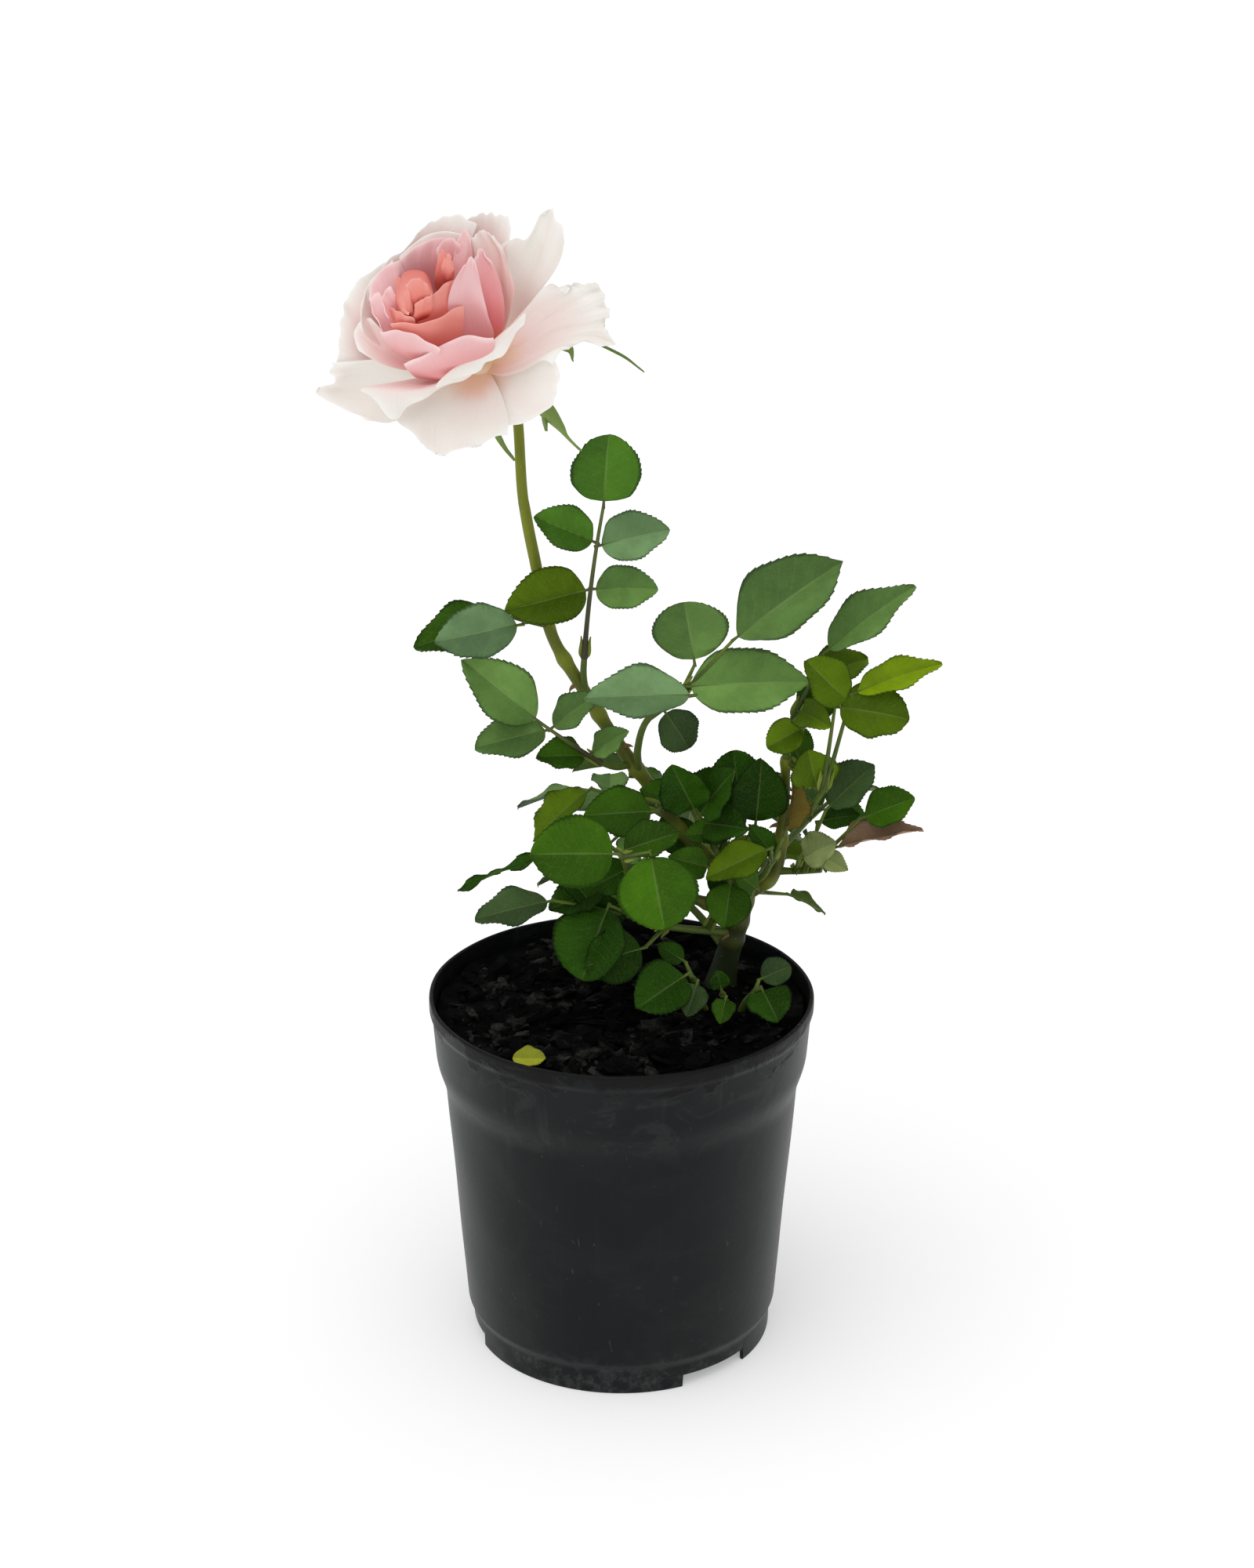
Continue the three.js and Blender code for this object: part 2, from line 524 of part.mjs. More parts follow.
function spraySolid(spray, seed) {
  const { stem, leaves } = spray;
  const curve = new THREE.CatmullRomCurve3(stem.course.map(vec), false, "centripetal");
  const solids = [limb({ steps: 3, ...stem }, 5)];
  leaves.forEach((leaf, n) => {
    const foot = curve.getPointAt(leaf.at ?? 0.97);
    solids.push(...compoundLeaf(leaf, foot, seed + 0.37 * n));
  });
  return fuse(solids);
}

// ---------------------------------------------------------------- petals
// The petal's middle line, as (radius, height, lean in radians) by its share of the length.
function petalLine({ length, lean, root }) {
  const STEPS = 24;
  const leanAt = (t) => rad(lean[0] * (1 - t) ** 2 + 2 * lean[1] * t * (1 - t) + lean[2] * t * t);
  const line = [[...root, leanAt(0)]];
  for (let i = 0; i < STEPS; i++) {
    const [r, h] = line[i];
    const a = leanAt((i + 0.5) / STEPS);
    const run = length / STEPS;
    line.push([r + run * Math.sin(a), h + run * Math.cos(a), leanAt((i + 1) / STEPS)]);
  }
  return (t) => {
    const i = Math.min(STEPS - 1, Math.floor(t * STEPS));
    return line[i].map((value, k) => mix(value, line[i + 1][k], t * STEPS - i));
  };
}

const PETAL_US = [-1, -0.4, 0.4, 1];
const PETAL_VS = [0, 0.4, 0.75, 1];
const petalWidth = (v) => 0.24 + 0.76 * Math.sin((Math.PI / 2) * Math.min(1, v / 0.8)) ** 1.2;

// A petal widens from its claw and has a round top edge; across, it bends round the flower's axis as an
// arc.
function petal(spec, us = PETAL_US, vs = PETAL_VS, widthAt = petalWidth, round = 0.3) {
  const line = petalLine(spec);
  const around = rad(spec.phi);
  const outward = new THREE.Vector3(Math.cos(around), Math.sin(around), 0);
  const sideways = new THREE.Vector3(-Math.sin(around), Math.cos(around), 0);
  const point = (u, v) => {
    const [r, h, a] = line(v * (1 - round * Math.abs(u) ** 2.6));
    const arc = Math.max(r, 3) / spec.hug;
    const beta = (u * spec.half * widthAt(v)) / arc;
    // One edge lies in and the other out, as tiles overlap.
    const tilt = u * spec.half * v * Math.sin(rad(spec.roll ?? 0));
    const inward = arc * (1 - Math.cos(beta)) + tilt;
    const p = outward.clone().multiplyScalar(r - inward * Math.cos(a));
    p.addScaledVector(sideways, arc * Math.sin(beta));
    p.z = h + inward * Math.sin(a);
    return p;
  };
  return blade(us, vs, point, PETAL_THICK);
}

function whorl(w, leanAt) {
  return Array.from({ length: w.count }, (_, i) => {
    const phi = w.first + (360 * i) / w.count;
    return petal({ ...w, phi, lean: leanAt ? leanAt(phi) : w.lean });
  });
}

function inBloomFrame(solid) {
  const z = BLOOM.axis;
  const x = BLOOM.zero.clone().addScaledVector(z, -BLOOM.zero.dot(z)).normalize();
  const y = z.clone().cross(x);
  const frame = new THREE.Matrix4().makeBasis(x, y, z).setPosition(BLOOM.at);
  return solid.transform(frame.elements);
}

const space = (profile) => solidOf(turned(profile, 20));

// The same space grown by the gap: its foot goes down, its top goes up and its wall goes out.
function grownSpace(profile) {
  const [, foot] = profile[0];
  const grown = profile.map(([r, h], i) => {
    const onAxis = i === 0 || i === profile.length - 1;
    return [onAxis ? r : r + CLEAR, h < foot + 14 ? h - CLEAR : h + CLEAR];
  });
  return space(grown);
}

function guardPetals() {
  // The inner ring holds the cup: its back stands up closer than its front.
  const leanAt = (phi) => [70, 50, 14 - 6 * Math.sin(rad(phi))];
  const claws = space([[0, 0], [5, 0], [12.5, 3.4], [13, 6.5], [0, 6.5]]);
  const petals = [...GUARD_PETALS.map((p) => petal(p)), ...whorl(INNER_GUARD, leanAt)];
  return cutClear(fuse([claws, ...petals]), [grownSpace(CUP_SPACE)]);
}

function cupPetals() {
  const claws = space([[0, 3.9], [6.5, 3.9], [11, 7.2], [11, 12], [0, 12]]);
  const petals = CUP_WHORLS.flatMap((w) => whorl(w));
  return cutClear(fuse([claws, ...petals]).intersect(space(CUP_SPACE)), [grownSpace(HEART_SPACE)]);
}

function heartPetals() {
  const core = space([[0, 7.6], [3.9, 7.6], [5.5, 16], [7, 28], [5.2, 34], [2.4, 37], [0, 37]]);
  return largest(fuse([core, ...HEART_WHORLS.flatMap((w) => whorl(w))]).intersect(space(HEART_SPACE)));
}

// The hip under the petals, and five sepals that bend back from its top; the ends of two are long and
// thin.
function calyx() {
  const { length, radius, neck: waist, top } = HIP;
  const profile = [
    [0, -length], [waist, -length], [radius, -0.62 * length], [0.98 * radius, -0.4 * length],
    [top, -0.14 * length], [top + 0.5, -CLEAR - 0.5], [top, -CLEAR], [0, -CLEAR],
  ];
  const sepalWidth = (v) => 0.05 + 0.95 * Math.max(0, 1 - v) ** 0.9 * Math.min(1, 0.5 + 2.5 * v);
  const sepals = SEPALS.map((s) =>
    petal({ ...s, root: [1.8, -2.2], hug: 0.35 }, [-1, 0, 1], [0, 0.2, 0.45, 0.72, 1], sepalWidth, 0));
  return fuse([solidOf(turned(profile, 12)), ...sepals]);
}

// ---------------------------------------------------------------- pot and soil
function pot() {
  const { height, rim, wall, collarFoot, shoulder, heel, skirt, baseDisc, channel, segments } = POT;
  const inside = (p) => p.radius - wall;
  const profile = [
    [0, 0], [baseDisc, 0], [baseDisc + 2, channel], [skirt.radius - wall, channel],
    [skirt.radius - wall, 0], [skirt.radius, 0], [skirt.radius + 0.2, skirt.z],
    [heel.radius, heel.z], [shoulder.radius, shoulder.z],
    [collarFoot.radius, collarFoot.z], [rim - 0.9, height - 6], [rim, height - 4.6], [rim, height - 0.5],
    [rim - 0.5, height], [rim - wall, height], [rim - wall - 0.9, height - 5.6],
    [inside(collarFoot), collarFoot.z + 0.5], [inside(shoulder), shoulder.z + 0.5],
    [inside(heel), heel.z + 0.4], [inside(skirt), channel + wall],
    [baseDisc + 1.4, channel + wall], [baseDisc - 0.6, wall], [0, wall],
  ];
  const cutters = [];
  const place = (geometry, degrees, radius, z) =>
    solidOf(geometry.translate(radius, 0, z).rotateZ(rad(degrees)));
  for (let i = 0; i < NOTCH.count; i++) {
    const box = new THREE.BoxGeometry(8, NOTCH.width, 2 * NOTCH.height);
    cutters.push(place(box, NOTCH.first + (360 * i) / NOTCH.count, skirt.radius, 0));
  }
  for (let i = 0; i < DRAIN.count; i++) {
    const bore = new THREE.CylinderGeometry(DRAIN.radius, DRAIN.radius, 6 * wall, 10).rotateX(Math.PI / 2);
    cutters.push(place(bore, (360 * (i + 0.5)) / DRAIN.count, DRAIN.at, channel + wall / 2));
  }
  return cutClear(solidOf(turned(profile, segments)), cutters);
}

// Where a stem or the fallen leaf stands, the soil is level.
const LEVEL_SPOTS = [[34, 17], [29, -1], [35, -6], [40, -3], [-29, -50]];
const LEVEL_RADIUS = 9;

// Lumps of bark and peat: the mean of seeded heights at the corners of a square cell.
function lump(x, y) {
  const { bump, cell } = SOIL;
  const [i, j] = [Math.floor(x / cell), Math.floor(y / cell)];
  const ease = (f) => f * f * (3 - 2 * f);
  const [fx, fy] = [ease(x / cell - i), ease(y / cell - j)];
  const height = (a, b) => chance(0.71 * a + 3.3, 0.53 * b + 1.9) - 0.4;
  const low = mix(height(i, j), height(i + 1, j), fx);
  const high = mix(height(i, j + 1), height(i + 1, j + 1), fx);
  const nearest = Math.min(...LEVEL_SPOTS.map(([sx, sy]) => Math.hypot(x - sx, y - sy)));
  const level = Math.min(1, Math.max(0, (nearest - LEVEL_RADIUS) / 5));
  return 2 * bump * mix(low, high, fy) * level;
}

function soil() {
  const { wall, collarFoot, shoulder, heel, skirt, baseDisc, channel, rim, height, segments } = POT;
  const inside = (p) => p.radius - wall - CLEAR;
  const floor = wall + CLEAR;
  const upTheCollar = (SOIL.top - collarFoot.z) / (height - 5.6 - collarFoot.z);
  const atTop = mix(inside(collarFoot), rim - wall - 0.9 - CLEAR, upTheCollar);
  const profile = [
    [0, floor], [baseDisc - 1.2, floor], [baseDisc + 0.8, channel + floor],
      [inside(skirt), channel + floor],
    [inside(heel), heel.z + 0.4], [inside(shoulder), shoulder.z + 0.5],
      [inside(collarFoot), collarFoot.z + 0.5],
    [atTop - 0.1, SOIL.top],
  ];
  for (let ring = SOIL.rings - 1; ring >= 0; ring--) {
    profile.push([((atTop - 3) * ring) / (SOIL.rings - 1), SOIL.top]);
  }
  const geometry = turned(profile, segments);
  const position = geometry.getAttribute("position");
  for (let i = 0; i < position.count; i++) {
    const [x, y] = [position.getX(i), position.getY(i)];
    const onTop = position.getZ(i) > SOIL.top - 0.01 && Math.hypot(x, y) < atTop - 1;
    if (onTop) position.setZ(i, SOIL.top + lump(x, y));
  }
  return solidOf(geometry);
}

// A yellow piece of leaf that lies on the soil by the rim.
function fallenLeaf() {
  const root = new THREE.Vector3(-35, -49.5, SOIL.top + CLEAR + 0.5);
  return leaflet(root, new THREE.Vector3(1, -0.12, 0), new THREE.Vector3(0, 0, 1), 11, 0.62, 0.1, -0.02);
}

// ---------------------------------------------------------------- the whole bush
const FINISH = {
  pot: { color: 0x1b201f, roughness: 0.45, metalness: 0 },
  soil: { color: 0x0d0b0a, roughness: 0.95, metalness: 0 },
  bark: { color: 0x4f6b1f, roughness: 0.6, metalness: 0 },
  leaf: { color: 0x2f6a24, roughness: 0.5, metalness: 0 },
  calyx: { color: 0x4c7a33, roughness: 0.55, metalness: 0 },
  guard: { color: 0xf4ebe6, roughness: 0.6, metalness: 0 },
  cup: { color: 0xf1b9bb, roughness: 0.6, metalness: 0 },
  heart: { color: 0xec8c7a, roughness: 0.6, metalness: 0 },
  yellowed: { color: 0xb7b42c, roughness: 0.7, metalness: 0 },
};

const bush = new THREE.Group();
function add(name, solid, finish) {
  const mesh = new THREE.Mesh(geometryOf(solid), new THREE.MeshStandardMaterial(FINISH[finish]));
  mesh.name = name;
  bush.add(mesh);
}

add("pot", pot(), "pot");
add("soil", soil(), "soil");
add("fallen_leaf", fallenLeaf(), "yellowed");

const grownCanes = {};
for (const [name, spec] of Object.entries(CANES)) {
  grownCanes[name] = limb(spec, CANE_SIDES, CLEAR);
  let cane = limb(spec, CANE_SIDES);
  if (spec.cutAt) cane = cane.trimByPlane([0, 0, 1], spec.cutAt);
  const carriers = Object.keys(grownCanes).filter((other) => other !== name);
  add(name, cutClear(cane, carriers.map((other) => grownCanes[other])), "bark");
}

Object.entries(SPRAYS).forEach(([name, spray], n) => {
  let solid = spraySolid(spray, n + 1);
  if (spray.stem.cutAt) solid = solid.trimByPlane([0, 0, 1], spray.stem.cutAt);
  add(name, cutClear(solid, (spray.on ?? []).map((cane) => grownCanes[cane])), "leaf");
});

add("calyx", inBloomFrame(calyx()), "calyx");
add("guard_petals", inBloomFrame(guardPetals()), "guard");
add("cup_petals", inBloomFrame(cupPetals()), "cup");
add("heart_petals", inBloomFrame(heartPetals()), "heart");

export default bush;
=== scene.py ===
"""The looks of a patio rose bush in its nursery pot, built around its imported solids.

Lengths are millimetres inside the classes, as in the solids, and a finished mesh gets metres. The origin is
the centre of the pot's flat underside, +Z is up, and the bloom looks to the left (-X), to the front (-Y)
and up.
"""

import json
import logging
from dataclasses import dataclass, field
from enum import Enum
from typing import Any

import bpy
import numpy as np
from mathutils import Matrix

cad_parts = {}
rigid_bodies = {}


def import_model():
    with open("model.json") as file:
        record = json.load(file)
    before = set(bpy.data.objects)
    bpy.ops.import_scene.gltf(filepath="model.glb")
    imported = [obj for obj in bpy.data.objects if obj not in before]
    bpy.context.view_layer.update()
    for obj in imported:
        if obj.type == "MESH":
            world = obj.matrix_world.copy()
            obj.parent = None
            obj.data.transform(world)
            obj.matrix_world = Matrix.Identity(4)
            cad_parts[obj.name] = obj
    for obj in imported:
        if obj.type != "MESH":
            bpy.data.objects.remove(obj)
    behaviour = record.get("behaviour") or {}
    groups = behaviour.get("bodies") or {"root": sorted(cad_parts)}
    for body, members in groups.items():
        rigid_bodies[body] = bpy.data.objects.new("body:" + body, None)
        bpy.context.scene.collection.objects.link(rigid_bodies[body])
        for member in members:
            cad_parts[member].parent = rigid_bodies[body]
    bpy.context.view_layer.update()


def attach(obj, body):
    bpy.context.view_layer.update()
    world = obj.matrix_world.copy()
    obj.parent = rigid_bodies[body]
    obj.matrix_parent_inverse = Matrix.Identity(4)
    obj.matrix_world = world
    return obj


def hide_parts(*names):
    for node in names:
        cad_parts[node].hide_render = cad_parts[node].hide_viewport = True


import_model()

Array = np.ndarray
Point = tuple[float, float, float]
LOG = logging.getLogger("rose")
MM = 0.001
BODY = "root"
UP = np.array([0.0, 0.0, 1.0])
DENSE = 401  # points that measure a course
ROUND = 6.28  # a full turn, near enough for a map
TILE = (0.03, 0.97)  # the share of its square of the map that a surface fills


# ------------------------------------------------------------------ numbers and lines
def chance(seed: Array | float, k: Array | float) -> Array:
    """The seeded rule's random number, 0 to 1: the fraction of 43758.5453 sin(127.1 seed + 311.7 k)."""
    s = np.sin(np.asarray(seed) * 127.1 + np.asarray(k) * 311.7) * 43758.5453
    return s - np.floor(s)


def unit(v: Any) -> Array:
    """The vectors along the last axis, each made one long."""
    v = np.asarray(v, float)
    return v / np.maximum(np.linalg.norm(v, axis=-1, keepdims=True), 1e-12)


def ease(x: Array, low: float, high: float) -> Array:
    """0 below low, 1 above high, and a smooth 3t^2 - 2t^3 between them."""
    t = np.clip((np.asarray(x, float) - low) / (high - low), 0, 1)
    return t * t * (3 - 2 * t)


def mixed(a: Any, b: Any, t: Any) -> Any:
    """The point at share t from a to b."""
    return a + (b - a) * t


def gridded(*parts: Any) -> Array:
    """Numbers that vary over a grid, each spread over all of it, stacked as the last axis."""
    return np.stack(np.broadcast_arrays(*parts), -1)


def walked(line: Array) -> Array:
    """The way walked along a line up to each of its points."""
    return np.concatenate([[0], np.cumsum(np.linalg.norm(np.diff(line, axis=0), axis=1))])


def rough(points: Array, cell: float, seed: float) -> Array:
    """Smooth noise over (x, y): seeded heights at the corners of square cells, eased between them.

    Args:
        points: the places, with x and y first on the last axis.
        cell: the side of a cell.
        seed: another seed gives other heights.

    Returns:
        Heights of about -0.5 to 0.5.
    """
    x, y = points[..., 0] / cell, points[..., 1] / cell
    i, j = np.floor(x), np.floor(y)
    fx, fy = ease(x - i, 0, 1), ease(y - j, 0, 1)

    def height(a: Array, b: Array) -> Array:
        """The seeded height at one corner."""
        return chance(0.71 * a + seed, 0.53 * b + 1.9) - 0.5

    low = mixed(height(i, j), height(i + 1, j), fx)
    high = mixed(height(i, j + 1), height(i + 1, j + 1), fx)
    return mixed(low, high, fy)


@dataclass(frozen=True)
class Course:
    """A smooth line through points: a centripetal Catmull-Rom curve, walked by shares of its length."""

    points: Array

    def _at(self, t: Array) -> Array:
        """The cubic of each span, whose slopes at both ends come from the square roots of the distances.

        Args:
            t: 0 to 1, where each span between two given points is the same step.

        Returns:
            The points, one a row.
        """
        p = np.asarray(self.points, float)
        p = np.vstack([2 * p[0] - p[1], p, 2 * p[-1] - p[-2]])
        spans = len(p) - 3
        x = np.clip(t, 0, 1) * spans
        i = np.minimum(x.astype(int), spans - 1)
        w = (x - i)[:, None]
        a, b, c, d = p[i], p[i + 1], p[i + 2], p[i + 3]
        ab, bc, cd = (np.sqrt(np.linalg.norm(v, axis=1, keepdims=True)) for v in (b - a, c - b, d - c))
        start = ((b - a) / ab - (c - a) / (ab + bc) + (c - b) / bc) * bc
        end = ((c - b) / bc - (d - b) / (bc + cd) + (d - c) / cd) * bc
        return b + start * w + (3 * (c - b) - 2 * start - end) * w**2 + (2 * (b - c) + start + end) * w**3

    def along(self, shares: Array) -> Array:
        """Walks the line by shares of its length.

        Args:
            shares: 0 at the foot to 1 at the tip.

        Returns:
            The points, one a row.
        """
        t = np.linspace(0, 1, DENSE)
        run = walked(self._at(t))
        return self._at(np.interp(np.asarray(shares, float) * run[-1], run, t))

    @property
    def length(self) -> float:
        """The line's length."""
        return float(np.linalg.norm(np.diff(self._at(np.linspace(0, 1, DENSE)), axis=0), axis=1).sum())


def bezier(foot: Array, middle: Array, tip: Array, t: Array) -> Array:
    """A quadratic curve from foot to tip that middle pulls: (1-t)^2 foot + 2t(1-t) middle + t^2 tip."""
    t = np.asarray(t, float)[..., None]
    return (1 - t) ** 2 * foot + 2 * t * (1 - t) * middle + t * t * tip


# ------------------------------------------------------------------ surfaces
@dataclass
class Grid:
    """Surfaces over a rectangular grid, many alike in one array.

    points has the shape (surfaces, rows, columns, 3) in millimetres and uv (surfaces, rows, columns, 2). slot
    is the finish they wear. A face looks the way of its row's run cross its column's run, or the other way if
    turned is set. tone is the shade of each surface or point.
    """

    points: Array
    uv: Array
    slot: int = 0
    turned: bool = False
    tone: Array | None = None


def tube(line: Array, radius: Array, sides: int, slot: int = 0, tone: Array | float = 0.5,
         relief: Array | None = None) -> Grid:
    """A round limb with closed ends: each ring stands square to the line.

    A ring's point is line + radius (cos a side + sin a other), where side and other stand square to the line.

    Args:
        line: the middle line's points.
        radius: the radius at each point.
        sides: corners of a ring.
        slot: the finish.
        tone: the limb's own shade, 0 to 1, or one at each point.
        relief: what is added to the radius, by ring and side.

    Returns:
        The limb.
    """
    way = unit(np.gradient(line, axis=0))
    axis = np.eye(3)[np.argmin(np.abs(way).max(0))]
    side = unit(np.cross(way, axis))
    other = np.cross(way, side)
    turn = np.linspace(0, 2 * np.pi, sides + 1)
    reach = radius[:, None] + (0 if relief is None else relief)
    ring = np.cos(turn)[None, :, None] * side[:, None] + np.sin(turn)[None, :, None] * other[:, None]
    body = line[:, None] + np.broadcast_to(reach, (len(line), sides + 1))[..., None] * ring
    body[:, -1] = body[:, 0]
    ends = [np.broadcast_to(line[i], (1, sides + 1, 3)) for i in (0, -1)]
    points = np.concatenate([ends[0], body, ends[1]])
    run = walked(line)
    v = np.concatenate([[0], run, [run[-1]]])
    u = turn / (2 * np.pi)
    uv = gridded(u[None, :], v[:, None])
    shade = np.broadcast_to(tone, len(line))
    shade = np.concatenate([shade[:1], shade, shade[-1:]])
    return Grid(points[None], uv[None], slot, True, shade[None, :, None])


def shell(middle: Array, normal: Array, thick: float, uv: Array, slots: tuple[int, int],
          tone: Array) -> list[Grid]:
    """A closed blade: the middle surface moved out to both sides, the two meeting in one edge all round.

    At u and v of -1 to 1, each side stands off by half of thick sqrt(1 - |u|^8) sqrt(1 - |v|^16).

    Args:
        middle: the middle surface, (surfaces, rows, columns, 3).
        normal: the way its upper side looks, of the same shape or one vector a surface.
        thick: its thickness.
        uv: across and along.
        slots: the finishes of the upper and the under side.
        tone: each surface's own shade, 0 to 1.

    Returns:
        The upper and the under side.
    """
    rows, columns = middle.shape[1:3]
    u = np.linspace(-1, 1, columns)
    v = np.linspace(-1, 1, rows)
    across, along = (np.sqrt(np.clip(1 - x, 0, 1)) for x in (np.abs(u) ** 8, np.abs(v) ** 16))
    bulge = across[None, :] * along[:, None]
    step = 0.5 * thick * bulge[..., None] * normal
    return [
        Grid(middle + step, uv, slots[0], True, tone),
        Grid(middle - step, uv, slots[1], False, tone),
    ]


def surface_normals(points: Array) -> Array:
    """The unit normals of grids of points: a column's run cross a row's run."""
    return unit(np.cross(np.gradient(points, axis=1), np.gradient(points, axis=2)))


def tiles(count: int, start: int, total: int, rows: int, columns: int) -> Array:
    """Each surface's own square of a map, so that a texture on it is sharp and no two share a place.

    Args:
        count: how many surfaces.
        start: how many have their squares already.
        total: how many there are in the piece.
        rows: a surface's rows of points.
        columns: its columns.

    Returns:
        Places on the map, (surfaces, rows, columns, 2).
    """
    across = int(np.ceil(np.sqrt(total)))
    number = start + np.arange(count)
    corner = np.stack([number % across, number // across], -1)[:, None, None]
    local = gridded(np.linspace(*TILE, columns)[None, :], np.linspace(*TILE, rows)[:, None])
    return (corner + local[None]) / across


def make_piece(name: str, grids: list[Grid], finishes: list[bpy.types.Material],
               crease: float = 50.0) -> bpy.types.Object:
    """Joins grids into one closed, welded mesh object.

    Args:
        name: the piece's name.
        grids: its surfaces.
        finishes: its materials, one a slot.
        crease: faces that meet at more than this many degrees keep a sharp edge.

    Returns:
        The object, at the origin, with its place in its mesh.
    """
    total = sum(g.points.shape[0] for g in grids)
    points, faces, maps, bakes, slots, tones = [], [], [], [], [], []
    base = done = 0
    for g in grids:
        n, rows, columns, _ = g.points.shape
        index = np.arange(n * rows * columns).reshape(n, rows, columns)
        ring = (index[:, :-1, :-1], index[:, :-1, 1:], index[:, 1:, 1:], index[:, 1:, :-1])
        corners = np.stack(ring, -1).reshape(-1, 4)
        if g.turned:
            corners = corners[:, ::-1]
        bake = tiles(n, done, total, rows, columns).reshape(-1, 2)
        tone = np.full(n, 0.5) if g.tone is None else np.asarray(g.tone, float)
        tone = tone.reshape(tone.shape + (1,) * (3 - tone.ndim))
        points.append(g.points.reshape(-1, 3))
        faces.append(corners + base)
        maps.append(np.broadcast_to(g.uv, (n, rows, columns, 2)).reshape(-1, 2)[corners])
        bakes.append(bake[corners])
        slots.append(np.full(len(corners), g.slot))
        tones.append(np.broadcast_to(tone, (n, rows, columns)).ravel())
        base += n * rows * columns
        done += n
    shape = (np.vstack(points) * MM, np.vstack(faces), np.vstack(maps), np.vstack(bakes))
    return welded(name, *shape, np.concatenate(slots), np.concatenate(tones), finishes, crease)


def welded(name: str, points: Array, faces: Array, uv: Array, bake: Array, slots: Array, tones: Array,
           finishes: list[bpy.types.Material], crease: float) -> bpy.types.Object:
    """Puts points and four-cornered faces into a mesh, where points at one place become one.

    A face whose corners fall together loses them, and goes where fewer than three are left.

    Args:
        name: the piece's name.
        points: corners in metres.
        faces: indices, four a face.
        uv: the pattern's map, by face and corner.
        bake: the map for textures, by face and corner.
        slots: each face's finish.
        tones: each point's shade.
        finishes: the materials.
        crease: the angle of a sharp edge, in degrees.

    Returns:
        The object.
    """
    microns = np.round(points * 1e6).astype(np.int64)
    _, first, same = np.unique(microns, axis=0, return_index=True, return_inverse=True)
    joined = same.reshape(-1)[faces]
    kept = joined != np.roll(joined, -1, axis=1)
    kept &= (kept.sum(1) >= 3)[:, None]
    counts = kept.sum(1)
    counts = counts[counts > 0]
    mesh = bpy.data.meshes.new(name)
    mesh.vertices.add(len(first))
    mesh.vertices.foreach_set("co", points[first].astype(np.float32).ravel())
    mesh.loops.add(int(counts.sum()))
    mesh.loops.foreach_set("vertex_index", joined[kept].astype(np.int32))
    mesh.polygons.add(len(counts))
    mesh.polygons.foreach_set("loop_start", np.concatenate([[0], np.cumsum(counts)[:-1]]).astype(np.int32))
    mesh.polygons.foreach_set("material_index", slots[kept.any(1)].astype(np.int32))
    mesh.polygons.foreach_set("use_smooth", np.ones(len(counts), bool))
    mesh.update(calc_edges=True)
    for layer, values in (("blade", uv), ("OFBake", bake)):
        mesh.uv_layers.new(name=layer).uv.foreach_set("vector", values[kept].astype(np.float32).ravel())
    mesh.attributes.new("tone", "FLOAT", "POINT").data.foreach_set("value", tones[first].astype(np.float32))
    mesh.validate()
    mesh.set_sharp_from_angle(angle=float(np.radians(crease)))
    for finish in finishes:
        mesh.materials.append(finish)
    piece = bpy.data.objects.new(name, mesh)
    bpy.context.scene.collection.objects.link(piece)
    return piece


def dress(piece: bpy.types.Object, slot: str, *nodes: str) -> bpy.types.Object:
    """Lets a piece ride on the plant and stand for its nodes, and reports it.

    Args:
        piece: the piece.
        slot: not used.
        nodes: the solids that it replaces.

    Returns:
        The piece.
    """
    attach(piece, BODY)
    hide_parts(*nodes)
    LOG.info("%s: %d faces for %s", piece.name, len(piece.data.polygons), ", ".join(nodes))
    return piece


# ------------------------------------------------------------------ materials
def linear(code: str) -> tuple[float, float, float, float]:
    """A colour code such as 4e751f in Blender's linear numbers.

    Args:
        code: two digits each for red, green and blue.

    Returns:
        Red, green, blue and alpha, 0 to 1.
    """
    c = np.array([int(code[i : i + 2], 16) for i in (0, 2, 4)]) / 255
    c = np.where(c <= 0.04045, c / 12.92, ((c + 0.055) / 1.055) ** 2.4)
    return float(c[0]), float(c[1]), float(c[2]), 1.0


class Value:
    """A number, colour or vector that flows in a node tree, for use in Python expressions."""

    def __init__(self, tree: "Tree", socket: bpy.types.NodeSocket) -> None:
        """Keeps the tree and the socket."""
        self.tree = tree
        self.socket = socket

    def __add__(self, other: Any) -> "Value":
        """self + other."""
        return self.tree.math("ADD", self, other)

    def __sub__(self, other: Any) -> "Value":
        """self - other."""
        return self.tree.math("SUBTRACT", self, other)

    def __rsub__(self, other: Any) -> "Value":
        """other - self."""
        return self.tree.math("SUBTRACT", other, self)

    def __mul__(self, other: Any) -> "Value":
        """self * other."""
        return self.tree.math("MULTIPLY", self, other)

    __radd__ = __add__
    __rmul__ = __mul__


